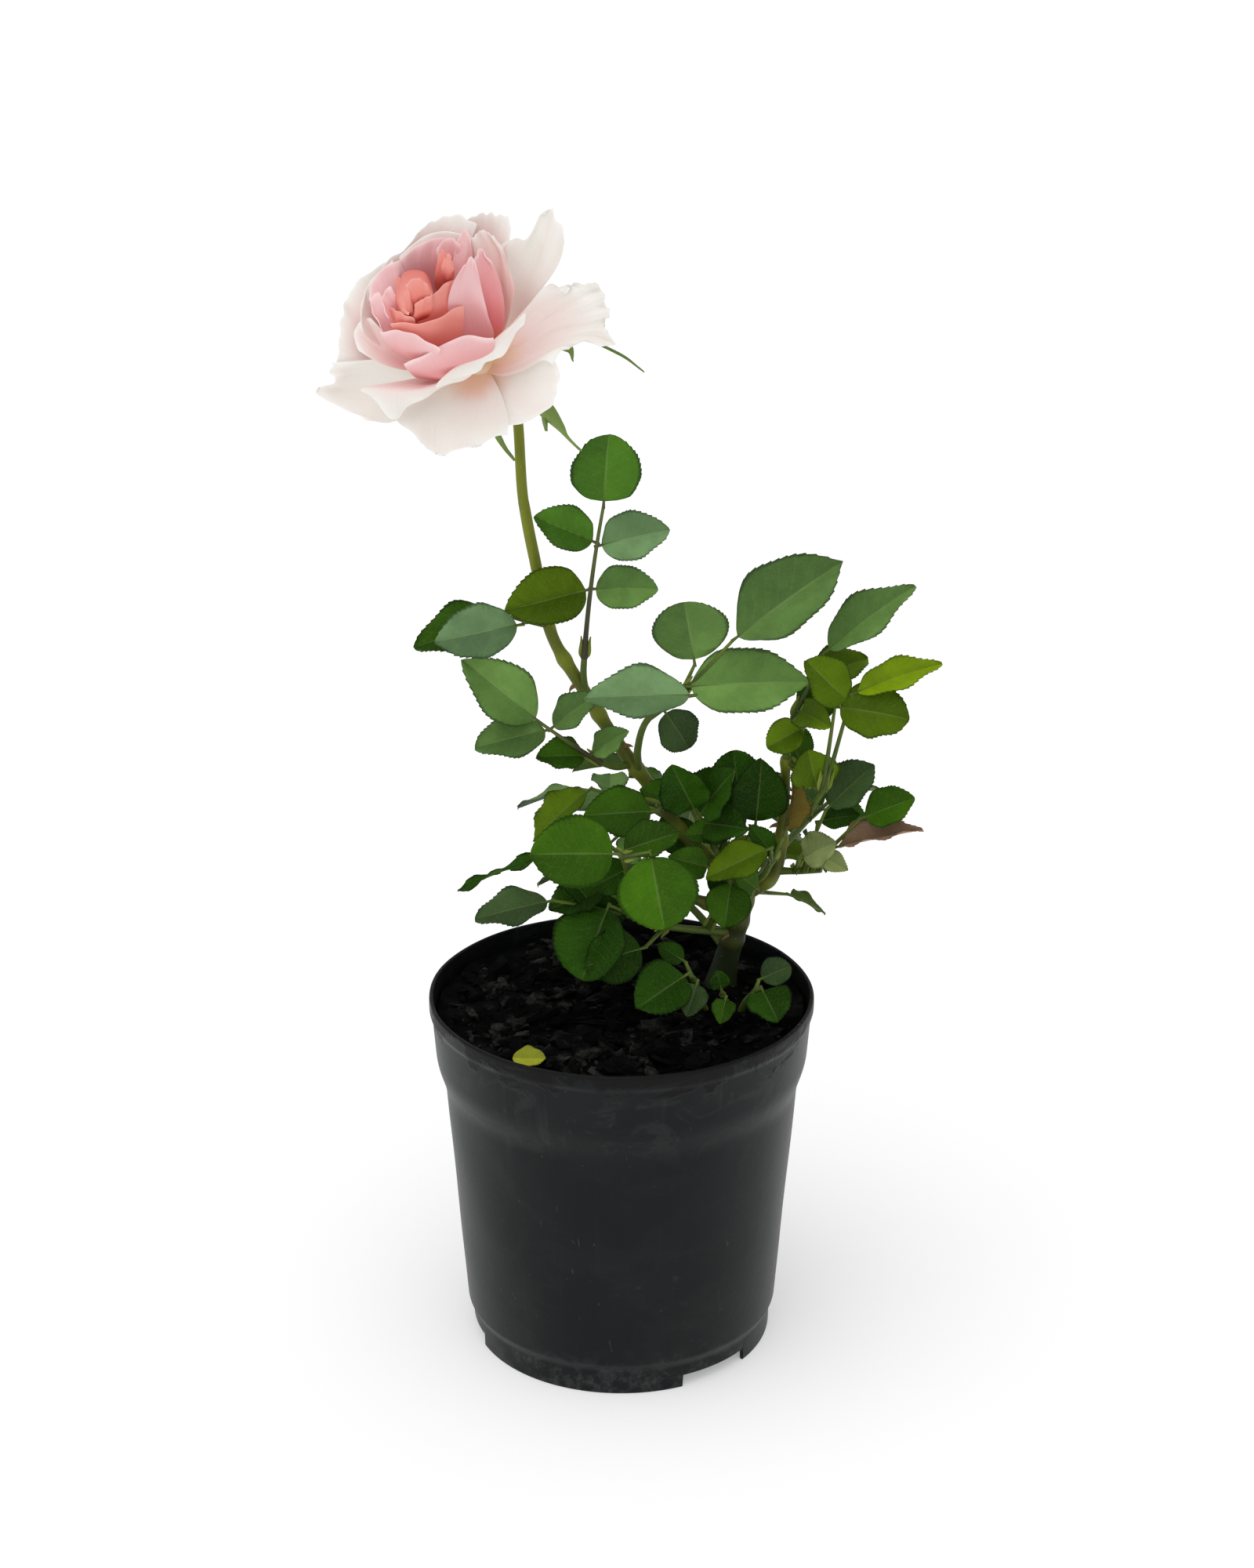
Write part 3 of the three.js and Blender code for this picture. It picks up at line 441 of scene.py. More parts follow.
class Tree:
    """A material's node tree, with one method for any node and short ones for what is used most."""

    def __init__(self, name: str) -> None:
        """Starts an empty material.

        Args:
            name: the material's name.
        """
        self.material = bpy.data.materials.new(name)
        self.material.use_nodes = True
        self.nodes = self.material.node_tree.nodes
        self.nodes.clear()

    def node(self, kind: str, settings: dict[str, Any], inputs: dict[Any, Any]) -> bpy.types.Node:
        """Adds a node of a type.

        Args:
            kind: the node's type.
            settings: its properties, set first.
            inputs: what goes in each socket, by name or number: a Value, or a plain number or colour.

        Returns:
            The node.
        """
        node = self.nodes.new(kind)
        for key, value in settings.items():
            setattr(node, key, value)
        for key, value in inputs.items():
            if isinstance(value, Value):
                self.material.node_tree.links.new(value.socket, node.inputs[key])
            else:
                node.inputs[key].default_value = value
        return node

    def value(self, kind: str, settings: dict[str, Any], inputs: dict[Any, Any], output: Any = 0) -> Value:
        """Adds a node and gives one of its outputs."""
        return Value(self, self.node(kind, settings, inputs).outputs[output])

    def math(self, operation: str, *values: Any) -> Value:
        """A Math node on up to three numbers."""
        return self.value("ShaderNodeMath", {"operation": operation}, dict(enumerate(values)))

    def step(self, x: Any, low: float, high: float) -> Value:
        """0 on one side of a band and 1 on the other, smooth between them.

        Args:
            x: the number.
            low: where the result is 0.
            high: where it is 1. It may be less than low, and the result then falls as x grows.

        Returns:
            The result.
        """
        inputs = {0: x, 1: low, 2: high, 3: 0.0, 4: 1.0}
        if low > high:
            inputs = {0: x, 1: high, 2: low, 3: 1.0, 4: 0.0}
        return self.value("ShaderNodeMapRange", {"interpolation_type": "SMOOTHSTEP"}, inputs)

    def mix(self, factor: Any, a: Any, b: Any) -> Value:
        """The colour at a factor from a to b."""
        return self.value("ShaderNodeMix", {"data_type": "RGBA"}, {0: factor, 6: a, 7: b}, 2)

    def multiply(self, colour: Any, factor: Any, by: Any) -> Value:
        """A colour multiplied by another, by a factor."""
        settings = {"data_type": "RGBA", "blend_type": "MULTIPLY"}
        return self.value("ShaderNodeMix", settings, {0: factor, 6: colour, 7: by}, 2)

    def place(self) -> Value:
        """The place on the piece, in metres."""
        return self.value("ShaderNodeTexCoord", {}, {}, "Object")

    def scaled(self, vector: Any, x: float, y: float, z: float) -> Value:
        """A vector stretched by x, y and z."""
        return self.value("ShaderNodeVectorMath", {"operation": "MULTIPLY"}, {0: vector, 1: (x, y, z)})

    def blade(self) -> tuple[Value, Value, Value]:
        """The blade's own map: as a vector, across it and along it."""
        vector = self.value("ShaderNodeUVMap", {"uv_map": "blade"}, {})
        return (vector, *self.split(vector)[:2])

    def split(self, vector: Any) -> tuple[Value, Value, Value]:
        """A vector's three numbers."""
        node = self.node("ShaderNodeSeparateXYZ", {}, {0: vector})
        return Value(self, node.outputs[0]), Value(self, node.outputs[1]), Value(self, node.outputs[2])

    def tone(self) -> Value:
        """The shade that each blade or limb has of its own."""
        return self.value("ShaderNodeAttribute", {"attribute_name": "tone"}, {}, "Fac")

    def noise(self, vector: Any, scale: float, detail: float = 3.0, roughness: float = 0.5,
              distortion: float = 0.0) -> Value:
        """Noise of 0 to 1 about 0.5."""
        inputs = {"Vector": vector, "Scale": scale, "Detail": detail, "Roughness": roughness}
        return self.value("ShaderNodeTexNoise", {}, inputs | {"Distortion": distortion})

    def cells(self, vector: Any, scale: float, feature: str = "DISTANCE_TO_EDGE") -> Value:
        """The distance in a Voronoi pattern."""
        inputs = {"Vector": vector, "Scale": scale}
        return self.value("ShaderNodeTexVoronoi", {"feature": feature}, inputs, "Distance")

    def bump(self, height: Any, distance: float, strength: float = 1.0) -> Value:
        """A normal that a height of 0 to 1 tilts; distance is the height of 1 in metres."""
        inputs = {"Height": height, "Distance": distance, "Strength": strength}
        return self.value("ShaderNodeBump", {}, inputs)

    def finish(self, **sockets: Any) -> bpy.types.Material:
        """Ends the tree in a Principled shader.

        Args:
            sockets: what goes in each socket, its name written with _ for a space.

        Returns:
            The material.
        """
        inputs = {key.replace("_", " "): value for key, value in sockets.items()}
        shader = self.value("ShaderNodeBsdfPrincipled", {}, inputs)
        self.node("ShaderNodeOutputMaterial", {}, {"Surface": shader})
        return self.material


class Hue(Enum):
    """The colours of leaves, as (upper side, under side, edge)."""

    FRESH = ("477714", "6f8c48", "223a0c")
    MID = ("5f833f", "71885c", "2a3f1e")
    GREY = ("698a5c", "74906a", "34492c")
    LAWN = ("375f05", "6c8a3c", "203a08")
    DEEP = ("315606", "5a7636", "1a3008")
    DARK = ("224702", "446226", "0f2204")
    OLIVE = ("526d06", "74882c", "2c3c08")
    LIME = ("7c980a", "8fa338", "455c0e")
    BLUE = ("375026", "4f6546", "1c2c18")
    BRONZE = ("a07c62", "ae8f78", "6a4c38")
    UMBER = ("574a18", "665a2a", "352c10")
    PALE = ("86935a", "9fa874", "5a6836")
    YOLK = ("8f9420", "b6ab3c", "7c7420")


@dataclass(frozen=True)
class LeafFinish:
    """One side of a leaf: side veins that leave a pale midrib, a darker edge, painted crease shade and soft
    gloss.

    slant is how far a side vein runs on along the blade on its way out, and matt the hues with least gloss.
    lit and shaded multiply the two halves of the blade: painted light on one half, painted shade on the
    other.
    """

    hue: Hue
    under: bool = False
    veins: float = 8.0
    slant: float = 0.34
    shine: float = 0.42
    relief: float = 0.00020
    lit: tuple[float, float, float, float] = (1.12, 1.13, 1.18, 1.0)
    shaded: tuple[float, float, float, float] = (0.76, 0.80, 0.80, 1.0)
    matt: tuple[Hue, ...] = (Hue.LAWN, Hue.DEEP, Hue.DARK, Hue.OLIVE, Hue.LIME, Hue.UMBER)

    def material(self) -> bpy.types.Material:
        """Builds the material.

        Returns:
            The material.
        """
        side = "under" if self.under else "upper"
        tree = Tree(f"leaf_{self.hue.name.lower()}_{side}")
        upper, lower, edge = (linear(code) for code in self.hue.value)
        body = lower if self.under else upper
        _, x, y = tree.blade()
        across = tree.math("ABSOLUTE", x * 2.0 - 1.0)
        place = tree.place()
        wander = tree.noise(place, 260.0, 2.0) - 0.5
        # A side vein runs where veins * (along - slant * across) is a whole number; it bends up to the edge.
        phase = (y - across * self.slant + across * across * 0.10 + wander * 0.03) * self.veins
        from_vein = tree.math("ABSOLUTE", tree.math("FRACT", phase) - 0.5) * 2.0
        side_vein = tree.step(from_vein, 0.80, 0.98) * tree.step(across, 0.97, 0.6)
        midrib = tree.step(across, 0.055, 0.012)
        mesh_vein = tree.step(tree.cells(place, 900.0), 0.10, 0.0)
        vein = tree.math("MAXIMUM", midrib, side_vein * 0.22)
        mottle = tree.noise(place, 75.0, 4.0, 0.6)
        tone = tree.tone()
        light = tree.mix(tree.step(mottle, 0.35, 0.7) * 0.7, tuple(0.84 * c for c in body[:3]) + (1.0,),
                         tuple(min(1.0, 1.26 * c) for c in body[:3]) + (1.0,))
        shade = tree.mix(tree.step(tone, 0.0, 1.0), (0.80, 0.80, 0.78, 1.0), (1.16, 1.14, 1.04, 1.0))
        # Painted light and shade, as on a blade creased along its midrib: one half is a little lighter
        # and the other darker.
        crease = tree.mix(tree.step(x, 0.49, 0.52), self.lit, self.shaded)
        toned = tree.multiply(tree.multiply(light, 1.0, shade), 1.0, crease)
        pale = tuple(min(1.0, 0.55 * c + 0.45 * d) for c, d in zip(body[:3], (0.42, 0.52, 0.22))) + (1.0,)
        veined = tree.mix(vein * (0.5 if self.under else 0.26), toned, pale)
        veined = tree.mix(mesh_vein * 0.10, veined, pale)
        rim = tree.step(across + wander * 0.08, 0.88, 0.98)
        coloured = tree.mix(rim * 0.85, veined, edge)
        gloss = tree.noise(place, 190.0, 3.0)
        sign = 1.0 if self.under else -1.0
        pucker = tree.math("SINE", from_vein * 1.5708) * -0.55
        height = vein * sign + pucker * -sign * 0.5 + mesh_vein * (0.25 * sign) + gloss * 0.25
        return tree.finish(
            Base_Color=coloured,
            Roughness=gloss * 0.2 + (0.55 if self.under else self.shine),
            Normal=tree.bump(height, self.relief, 0.7),
            Specular_IOR_Level=0.06 if self.hue in self.matt else 0.15,
        )


@dataclass(frozen=True)
class StalkFinish:
    """Green bark: streaks along the limb and small pale pores; where its tone is low it is old and dark."""

    name: str
    young: str
    old: str
    streak: str
    relief: float = 0.00018
    pore: str = "a3a27a"

    def material(self) -> bpy.types.Material:
        """Builds the material.

        Returns:
            The material.
        """
        tree = Tree(self.name)
        vector, _, _ = tree.blade()
        place = tree.place()
        # The map is turns round the limb and millimetres along it, so streaks are long along the limb.
        fine = tree.noise(tree.scaled(vector, 9.0, 0.12, 1.0), 1.6, 4.0, 0.65)
        long = tree.noise(tree.scaled(vector, 3.0, 0.05, 1.0), 1.0, 3.0)
        pores = tree.step(tree.cells(tree.scaled(vector, 5.0, 0.45, 1.0), 1.0, "F1"), 0.16, 0.06)
        patch = tree.noise(place, 42.0, 3.0, 0.6)
        age = tree.tone() + (patch - 0.5) * 0.7
        age = tree.math("MINIMUM", tree.math("MAXIMUM", age, 0.0), 1.0)
        base = tree.mix(age, linear(self.old), linear(self.young))
        base = tree.mix(tree.step(long, 0.5, 0.75) * (age * 0.4 + 0.08), base, linear(self.streak))
        base = tree.mix(pores * (age * 0.3 + 0.08), base, linear(self.pore))
        height = fine * 0.7 + long * 0.5 + pores * 0.35
        return tree.finish(
            Base_Color=base,
            Roughness=fine * 0.2 + 0.4,
            Normal=tree.bump(height, self.relief),
            Specular_IOR_Level=0.25,
        )


@dataclass(frozen=True)
class PetalFinish:
    """A petal: a warm claw, a body between deep and pale by its tone, a paler rim, fine veins and velvet.

    claw_to is how far along the claw's colour has faded out. painted_glow is how much of its own colour the
    petal gives off: painted light that stands in for light shining through it.
    """

    name: str
    claw: str
    deep: str
    pale: str
    rim: str
    claw_to: float
    painted_glow: float
    relief: float = 0.00030

    def material(self) -> bpy.types.Material:
        """Builds the material.

        Returns:
            The material.
        """
        tree = Tree(self.name)
        vector, x, y = tree.blade()
        place = tree.place()
        across = tree.math("ABSOLUTE", x * 2.0 - 1.0)
        cloud = tree.noise(place, 60.0, 3.0, 0.55) - 0.5
        along = y + cloud * 0.25 + across * across * 0.10
        own = tree.tone() + cloud * 0.3 + (0.64 - along) * 1.5
        own = tree.math("MINIMUM", tree.math("MAXIMUM", own, 0.0), 1.0)
        body = tree.mix(own, linear(self.pale), linear(self.deep))
        base = tree.mix(tree.step(along, 0.12, self.claw_to), linear(self.claw), body)
        base = tree.mix(tree.step(along, 0.86, 1.06) * 0.8, base, linear(self.rim))
        # Veins fan out from the claw: noise that is fine across the petal and long along it.
        fan = tree.noise(tree.scaled(vector, 40.0, 1.8, 1.0), 1.0, 3.0, 0.6, 0.3)
        base = tree.multiply(base, tree.step(fan, 0.5, 0.8) * 0.22, (0.92, 0.78, 0.76, 1.0))
        grain = tree.noise(place, 2600.0, 2.0)
        soft = tree.noise(tree.scaled(vector, 7.0, 2.0, 1.0), 1.0, 2.0)
        height = fan * 0.5 + grain * 0.10 + soft * 0.9
        return tree.finish(
            Base_Color=base,
            Roughness=grain * 0.14 + 0.5,
            Normal=tree.bump(height, self.relief, 0.6),
            # Painted light: the petal gives off its own colour, standing in for light shining through it.
            Emission_Color=base,
            Emission_Strength=self.painted_glow,
            Specular_IOR_Level=0.2,
        )


@dataclass(frozen=True)
class PlasticFinish:
    """Moulded black plastic that has stood in a nursery: dried splashes, dust and long scratches."""

    body: str = "040a0c"
    dust: str = "737a76"
    soil: str = "030302"
    relief: float = 0.00012

    def material(self) -> bpy.types.Material:
        """Builds the material.

        Returns:
            The material.
        """
        tree = Tree("nursery_plastic")
        place = tree.place()
        _, _, z = tree.split(place)
        smudge = tree.noise(place, 18.0, 5.0, 0.62)
        blotch = tree.noise(tree.scaled(place, 1.0, 1.0, 1.6), 46.0, 5.0, 0.68, 0.6)
        spots = tree.noise(place, 190.0, 4.0, 0.7)
        runs = tree.noise(tree.scaled(place, 1.0, 1.0, 0.06), 150.0, 3.0, 0.6)
        scratch = tree.noise(tree.scaled(place, 1.0, 1.0, 0.35), 420.0, 2.0, 0.5, 1.2)
        collar = tree.step(z, 0.086, 0.104)
        film = tree.step(smudge, 0.42, 0.72) * 0.022
        film = film + tree.step(blotch, 0.50, 0.60) * (collar * 0.042 + 0.010)
        splash = tree.step(spots, 0.60, 0.74) * tree.step(smudge, 0.48, 0.66) * 0.12
        drips = tree.step(runs, 0.56, 0.74) * (collar * 0.05 + 0.012)
        low = tree.step(z, 0.02, 0.0) * tree.step(spots, 0.42, 0.7) * 0.2
        lines = tree.step(scratch, 0.725, 0.76) * 0.12
        dusty = tree.math("MINIMUM", film + splash + drips + low + lines, 1.0)
        base = tree.mix(dusty, linear(self.body), linear(self.dust))
        # Wet soil is smeared over the top of the collar in ragged patches.
        smear = tree.step(blotch + (z - 0.118) * 22.0, 0.52, 0.60)
        base = tree.mix(smear, base, linear(self.soil))
        grain = tree.noise(place, 1500.0, 2.0)
        wave = tree.noise(place, 14.0, 2.0)
        height = wave * 6.0 + grain * 0.16 + smudge * 0.8 - lines * 1.5 + smear * (spots * 3.0) + blotch * 1.2
        return tree.finish(
            Base_Color=base,
            Roughness=dusty * 0.5 + grain * 0.10 + smear * 0.12 + 0.33,
            Normal=tree.bump(height, self.relief, 0.8),
            Specular_IOR_Level=0.17,
        )


@dataclass(frozen=True)
class SoilFinish:
    """Damp potting soil and bark: near black, with a few greyer fibres and wet glints."""

    name: str
    dark: str = "020202"
    light: str = "141211"
    share: float = 0.62
    fibres: str = "38322c"
    relief: float = 0.0009

    def material(self) -> bpy.types.Material:
        """Builds the material.

        Returns:
            The material.
        """
        tree = Tree(self.name)
        place = tree.place()
        coarse = tree.noise(place, 120.0, 5.0, 0.7)
        fibre = tree.noise(tree.scaled(place, 1.0, 3.0, 1.0), 700.0, 4.0, 0.65, 0.6)
        tone = tree.tone()
        light = tree.step(coarse + tone * 0.25 - 0.12, self.share, self.share + 0.25)
        base = tree.mix(light * 0.8, linear(self.dark), linear(self.light))
        base = tree.mix(tree.step(fibre, 0.6, 0.8) * 0.2, base, linear(self.fibres))
        wet = tree.step(tree.noise(place, 60.0, 2.0), 0.45, 0.7)
        return tree.finish(
            Base_Color=base,
            Roughness=0.9 - wet * 0.4 + fibre * 0.1,
            Normal=tree.bump(coarse + fibre * 0.5, self.relief, 0.9),
            Specular_IOR_Level=0.05,
        )


# ------------------------------------------------------------------ the pot
@dataclass
class NurseryPot:
    """A thin moulded pot: a deep collar, a plain wall, a foot ring with cut-outs, and drain holes."""

    height: float = 126.0
    rim: float = 65.0
    wall: float = 1.4
    collar_foot: tuple[float, float] = (62.8, 103.0)
    shoulder: tuple[float, float] = (59.9, 94.0)
    heel: tuple[float, float] = (53.7, 12.0)
    skirt: tuple[float, float] = (51.8, 9.0)
    base_disc: float = 34.0
    channel: float = 5.0
    notch_count: int = 3
    notch_first: float = -51.0
    notch_width: float = 27.0
    notch_height: float = 4.6
    drain_count: int = 6
    drain_radius: float = 4.0
    drain_at: float = 43.0
    around: int = 200

    def profile(self) -> Array:
        """The section's outline from the middle of the underside, out and up, and down inside.

        Returns:
            (radius, height) points.
        """
        wall, rim, top, disc, lift = self.wall, self.rim, self.height, self.base_disc, self.channel
        foot, foot_top = self.skirt
        outside = (self.collar_foot, self.shoulder, self.heel, self.skirt)
        inside = [r - wall for r, _ in outside]
        corners = [
            (0, 0), (disc, 0), (disc + 2, lift), (foot - wall, lift), (foot - wall, 0), (foot, 0),
            (foot + 0.2, foot_top), self.heel, self.shoulder, self.collar_foot,
            (rim - 0.9, top - 6), (rim, top - 4.6), (rim, top - 0.5), (rim - 0.5, top),
            (rim - wall, top), (rim - wall - 0.9, top - 5.6), (inside[0], self.collar_foot[1] + 0.5),
            (inside[1], self.shoulder[1] + 0.5), (inside[2], self.heel[1] + 0.4), (inside[3], lift + wall),
            (disc + 1.4, lift + wall), (disc - 0.6, wall), (0, wall),
        ]
        radius = np.full(len(corners), 0.9)
        radius[8:10] = 3.0  # the shoulder and the collar's foot are rounder than the rest
        return rounded(np.array(corners, float), radius, 7, 2.5)

    def build(self) -> bpy.types.Object:
        """Turns the section about the axis, a little out of round, and cuts the foot ring and the holes.

        A point is (r cos a, r sin a, z), where r is the section's radius and, outside, a few slow waves over
        a and z. Within a cut-out the foot ring's points are lifted to its height.

        Returns:
            The piece.
        """
        profile = self.profile()
        half = np.degrees(np.arcsin(self.notch_width / 2 / self.skirt[0]))
        middles = self.notch_first + 360 / self.notch_count * np.arange(self.notch_count)
        edges = np.concatenate([middles - half, middles + half])
        even = np.linspace(0, 360, self.around + 1)[:-1]
        turn = np.unique(np.mod(np.concatenate([even, edges - 0.15, edges + 0.15]), 360))
        turn = np.append(turn, turn[0] + 360)
        r, z = profile[:, 0][:, None], profile[:, 1][:, None]
        a = np.radians(turn)[None, :]
        waves = 0.30 * np.cos(2 * a + 0.7) + 0.16 * np.cos(3 * a - 1.1) + 0.07 * np.cos(11 * a)
        sway = ease(z, 20, 110) * waves
        dents = 0.10 * np.sin(7 * a + z / 9) * ease(z, 15, 40) * (1 - ease(z, 85, 94))
        reach = r + np.where(r > 45, sway + dents, 0)
        off = np.abs(np.mod(turn[None, :] - middles[:, None] + 180, 360) - 180).min(0)
        cut = (off <= half)[None, :] & (r > self.skirt[0] - self.wall - 0.6) & (z < self.notch_height)
        lift = np.where(cut, self.notch_height, np.broadcast_to(z, (len(profile), len(turn))))
        points = np.stack([reach * np.cos(a), reach * np.sin(a), lift], -1)
        points[:, -1] = points[:, 0]
        uv = gridded(turn[None, :] / 360, walked(profile)[:, None] / 100)
        pot = make_piece("nursery_pot", [Grid(points[None], uv[None])], [PlasticFinish().material()], 32.0)
        return dress(self.bored(pot), "pot", "pot")

    def bored(self, pot: bpy.types.Object) -> bpy.types.Object:
        """Cuts the drain holes with plain round cutters, which then go.

        Args:
            pot: the pot without holes.

        Returns:
            The same pot, bored.
        """
        for i in range(self.drain_count):
            turn = np.radians(360 / self.drain_count * (i + 0.5))
            at = self.drain_at * np.array([np.cos(turn), np.sin(turn), 0])
            line = at + np.outer([self.channel - 3, self.channel + 5], UP)
            cutter = make_piece(f"bore_{i}", [tube(line, np.full(2, self.drain_radius), 24)], [])
            cut = pot.modifiers.new("drain", "BOOLEAN")
            cut.operation, cut.solver, cut.object = "DIFFERENCE", "EXACT", cutter
        graph = bpy.context.evaluated_depsgraph_get()
        bored = pot.evaluated_get(graph)
        mesh = bpy.data.meshes.new_from_object(bored, preserve_all_data_layers=True, depsgraph=graph)
        pot.modifiers.clear()
        pot.data = mesh
        for i in range(self.drain_count):
            bpy.data.objects.remove(bpy.data.objects[f"bore_{i}"])
        return pot


def rounded(corners: Array, radius: Array, steps: int, run: float) -> Array:
    """A profile whose corners are rounded, with long sides divided.

    Each corner becomes a quadratic curve between points on its sides, at the radius or a third of the side.

    Args:
        corners: (radius, height) points.
        radius: how far each corner's curve starts from it.
        steps: the points of a curve.
        run: a straight side gets a point about every two and a half times this.

    Returns:
        The profile's points.
    """
    out = [corners[:1]]
    for before, corner, after, far in zip(corners[:-2], corners[1:-1], corners[2:], radius[1:-1]):
        sides = (before - corner, after - corner)
        start, end = (corner + unit(side) * min(far, np.linalg.norm(side) / 3) for side in sides)
        straight = np.linalg.norm(start - out[-1][-1])
        parts = max(1, int(straight / (10 * run) * 4))
        out.append(mixed(out[-1][-1], start, (np.arange(1, parts) / parts)[:, None]))
        out.append(bezier(start, corner, end, np.linspace(0, 1, steps)))
    out.append(corners[-1:])
    return np.vstack(out)


# ------------------------------------------------------------------ the soil
# Where the stock, the three sprouts and the fallen leaf stand, as in the solids.
STEM_FEET = ((34.0, 17.0), (29.0, -1.0), (35.0, -6.0), (40.0, -3.0), (-29.0, -50.0))


def from_stems(points: Array) -> Array:
    """How far each place on the soil lies from the nearest of these feet."""
    return np.min([np.hypot(points[..., 0] - x, points[..., 1] - y) for x, y in STEM_FEET], axis=0)


@dataclass
class PottingSoil:
    """Soil that fills the pot, level where stems stand, under a litter of bark chips and crumbs."""

    top: float = 120.5
    bump: float = 1.6
    cell: float = 9.0
    floor: float = 1.7
    chips: int = 560
    crumbs: int = 900
    edge: float = 62.2

    def height(self, points: Array) -> Array:
        """The surface: the solids' lumps, which fade round each stem, and finer ones.

        Args:
            points: the places, with x and y first on the last axis.

        Returns:
            The soil's height at each.
        """
        level = from_stems(points)
        lumps = 2 * self.bump * (rough(points, self.cell, 3.3) + 0.1) * np.clip((level - 9) / 5, 0, 1)
        fine = 1.3 * rough(points, 3.1, 8.1) + 0.7 * rough(points, 1.3, 5.7)
        return self.top + lumps + fine * ease(level, 0, 6)

    def body(self) -> Grid:
        """The soil as a turned shape, (r cos a, r sin a, z), whose top is pushed up and down.

        Returns:
            The surface.
        """
        wall = [(0, self.floor), (32.8, self.floor), (34.8, 6.7), (50.1, 6.7), (52.0, 12.4), (58.2, 94.5),
                (61.1, 103.5), (self.edge, self.top - 0.6)]
        top = np.linspace(self.edge - 0.3, 0, 56)
        profile = np.vstack([wall, np.stack([top, np.full_like(top, self.top)], -1)])
        a = np.linspace(0, 2 * np.pi, 221)
        r, z = profile[:, 0][:, None], np.broadcast_to(profile[:, 1][:, None], (len(profile), len(a)))
        points = np.stack([r * np.cos(a), r * np.sin(a), z], -1)
        on_top = np.arange(len(profile)) >= len(wall)
        points[on_top, :, 2] = self.height(points[on_top])
        points[-1, :, 2] = points[-1, :, 2].mean()
        points[:, -1] = points[:, 0]
        uv = gridded(a[None, :] / ROUND, np.linspace(0, 1, len(profile))[:, None])
        return Grid(points[None], uv[None], 0, False, np.array([0.3]))

    def litter(self, count: int, seed: float, size: tuple[float, float], slot: int) -> Grid:
        """Flakes of bark: balls of few faces, squared off, stretched, knocked about and laid on the soil.

        Args:
            count: how many.
            seed: their seed.
            size: the shortest and the longest.
            slot: their finish.

        Returns:
            The flakes that lie clear of the stems.
        """
        n = np.arange(count, dtype=float)
        pick = [chance(seed, n + 0.17 * k) for k in range(12)]
        lat = np.linspace(-np.pi / 2, np.pi / 2, 5)[None, :, None]
        lon = np.linspace(0, 2 * np.pi, 7)[None, None, :]
        ball = gridded(np.cos(lat) * np.cos(lon), np.cos(lat) * np.sin(lon), np.sin(lat))
        ball = np.sign(ball) * np.abs(ball) ** 0.6
        corner = n[:, None, None] * 3.1 + 7 * np.round(lat, 3) + 1.3 * np.round(np.cos(lon), 3)
        knock = chance(seed + 1, corner + np.sin(lon).round(3))
        ball = ball * (0.7 + 0.6 * knock[..., None])
        length = mixed(size[0], size[1], pick[0] ** 2)
        broad = length * mixed(0.3, 0.75, pick[1])
        thick = length * mixed(0.12, 0.36, pick[2])
        ball = ball * np.stack([length, broad, thick], -1)[:, None, None] / 2
        heading, lean, roll = 2 * np.pi * pick[3], 0.9 * (pick[4] - 0.5), 1.1 * (pick[5] - 0.5)
        x, y, z = ball[..., 0], ball[..., 1], ball[..., 2]

        def turn(a: Array, b: Array, by: Array) -> tuple[Array, Array]:
            """Turns two coordinates by an angle each."""
            c, s = np.cos(by)[:, None, None], np.sin(by)[:, None, None]
            return a * c - b * s, a * s + b * c

        x, z = turn(x, z, lean)
        y, z = turn(y, z, roll)
        x, y = turn(x, y, heading)
        r = (self.edge - 2.5 - length / 2) * np.sqrt(pick[6])
        at = np.stack([r * np.cos(2 * np.pi * pick[7]), r * np.sin(2 * np.pi * pick[7])], -1)
        lift = (self.height(at) + 0.28 * thick)[:, None, None]
        place = np.stack([x + at[:, :1, None], y + at[:, 1:, None], z + lift], -1)
        kept = from_stems(at) > 3.5 + length / 2
        uv = np.broadcast_to(gridded(lon / ROUND, lat / 3.14 + 0.5), place[kept].shape[:-1] + (2,))
        return Grid(place[kept], uv, slot, False, pick[8][kept])

    def build(self) -> bpy.types.Object:
        """Joins the soil and its litter.

        Returns:
            The piece.
        """
        grids = [
            self.body(),
            self.litter(self.chips, 2.7, (3.5, 13.0), 1),
            self.litter(self.crumbs, 6.1, (1.2, 4.0), 1),
        ]
        finishes = [
            SoilFinish("potting_soil").material(),
            SoilFinish("bark_chips", "060505", "3c3b39", 0.52).material(),
        ]
        return dress(make_piece("potting_soil", grids, finishes, 35.0), "soil", "soil")


# ------------------------------------------------------------------ stock and canes
BLOOM_AT = np.array([-41.3, 10.0, 337.1])
BLOOM_AXIS = unit([-0.429, -0.531, 0.73])
BLOOM_ZERO = unit(np.array([0.81, 0.132, 0.572]) - BLOOM_AXIS * (np.array([0.81, 0.132, 0.572]) @ BLOOM_AXIS))
BLOOM_SIDE = np.cross(BLOOM_AXIS, BLOOM_ZERO)
HIP_LENGTH = 11.0


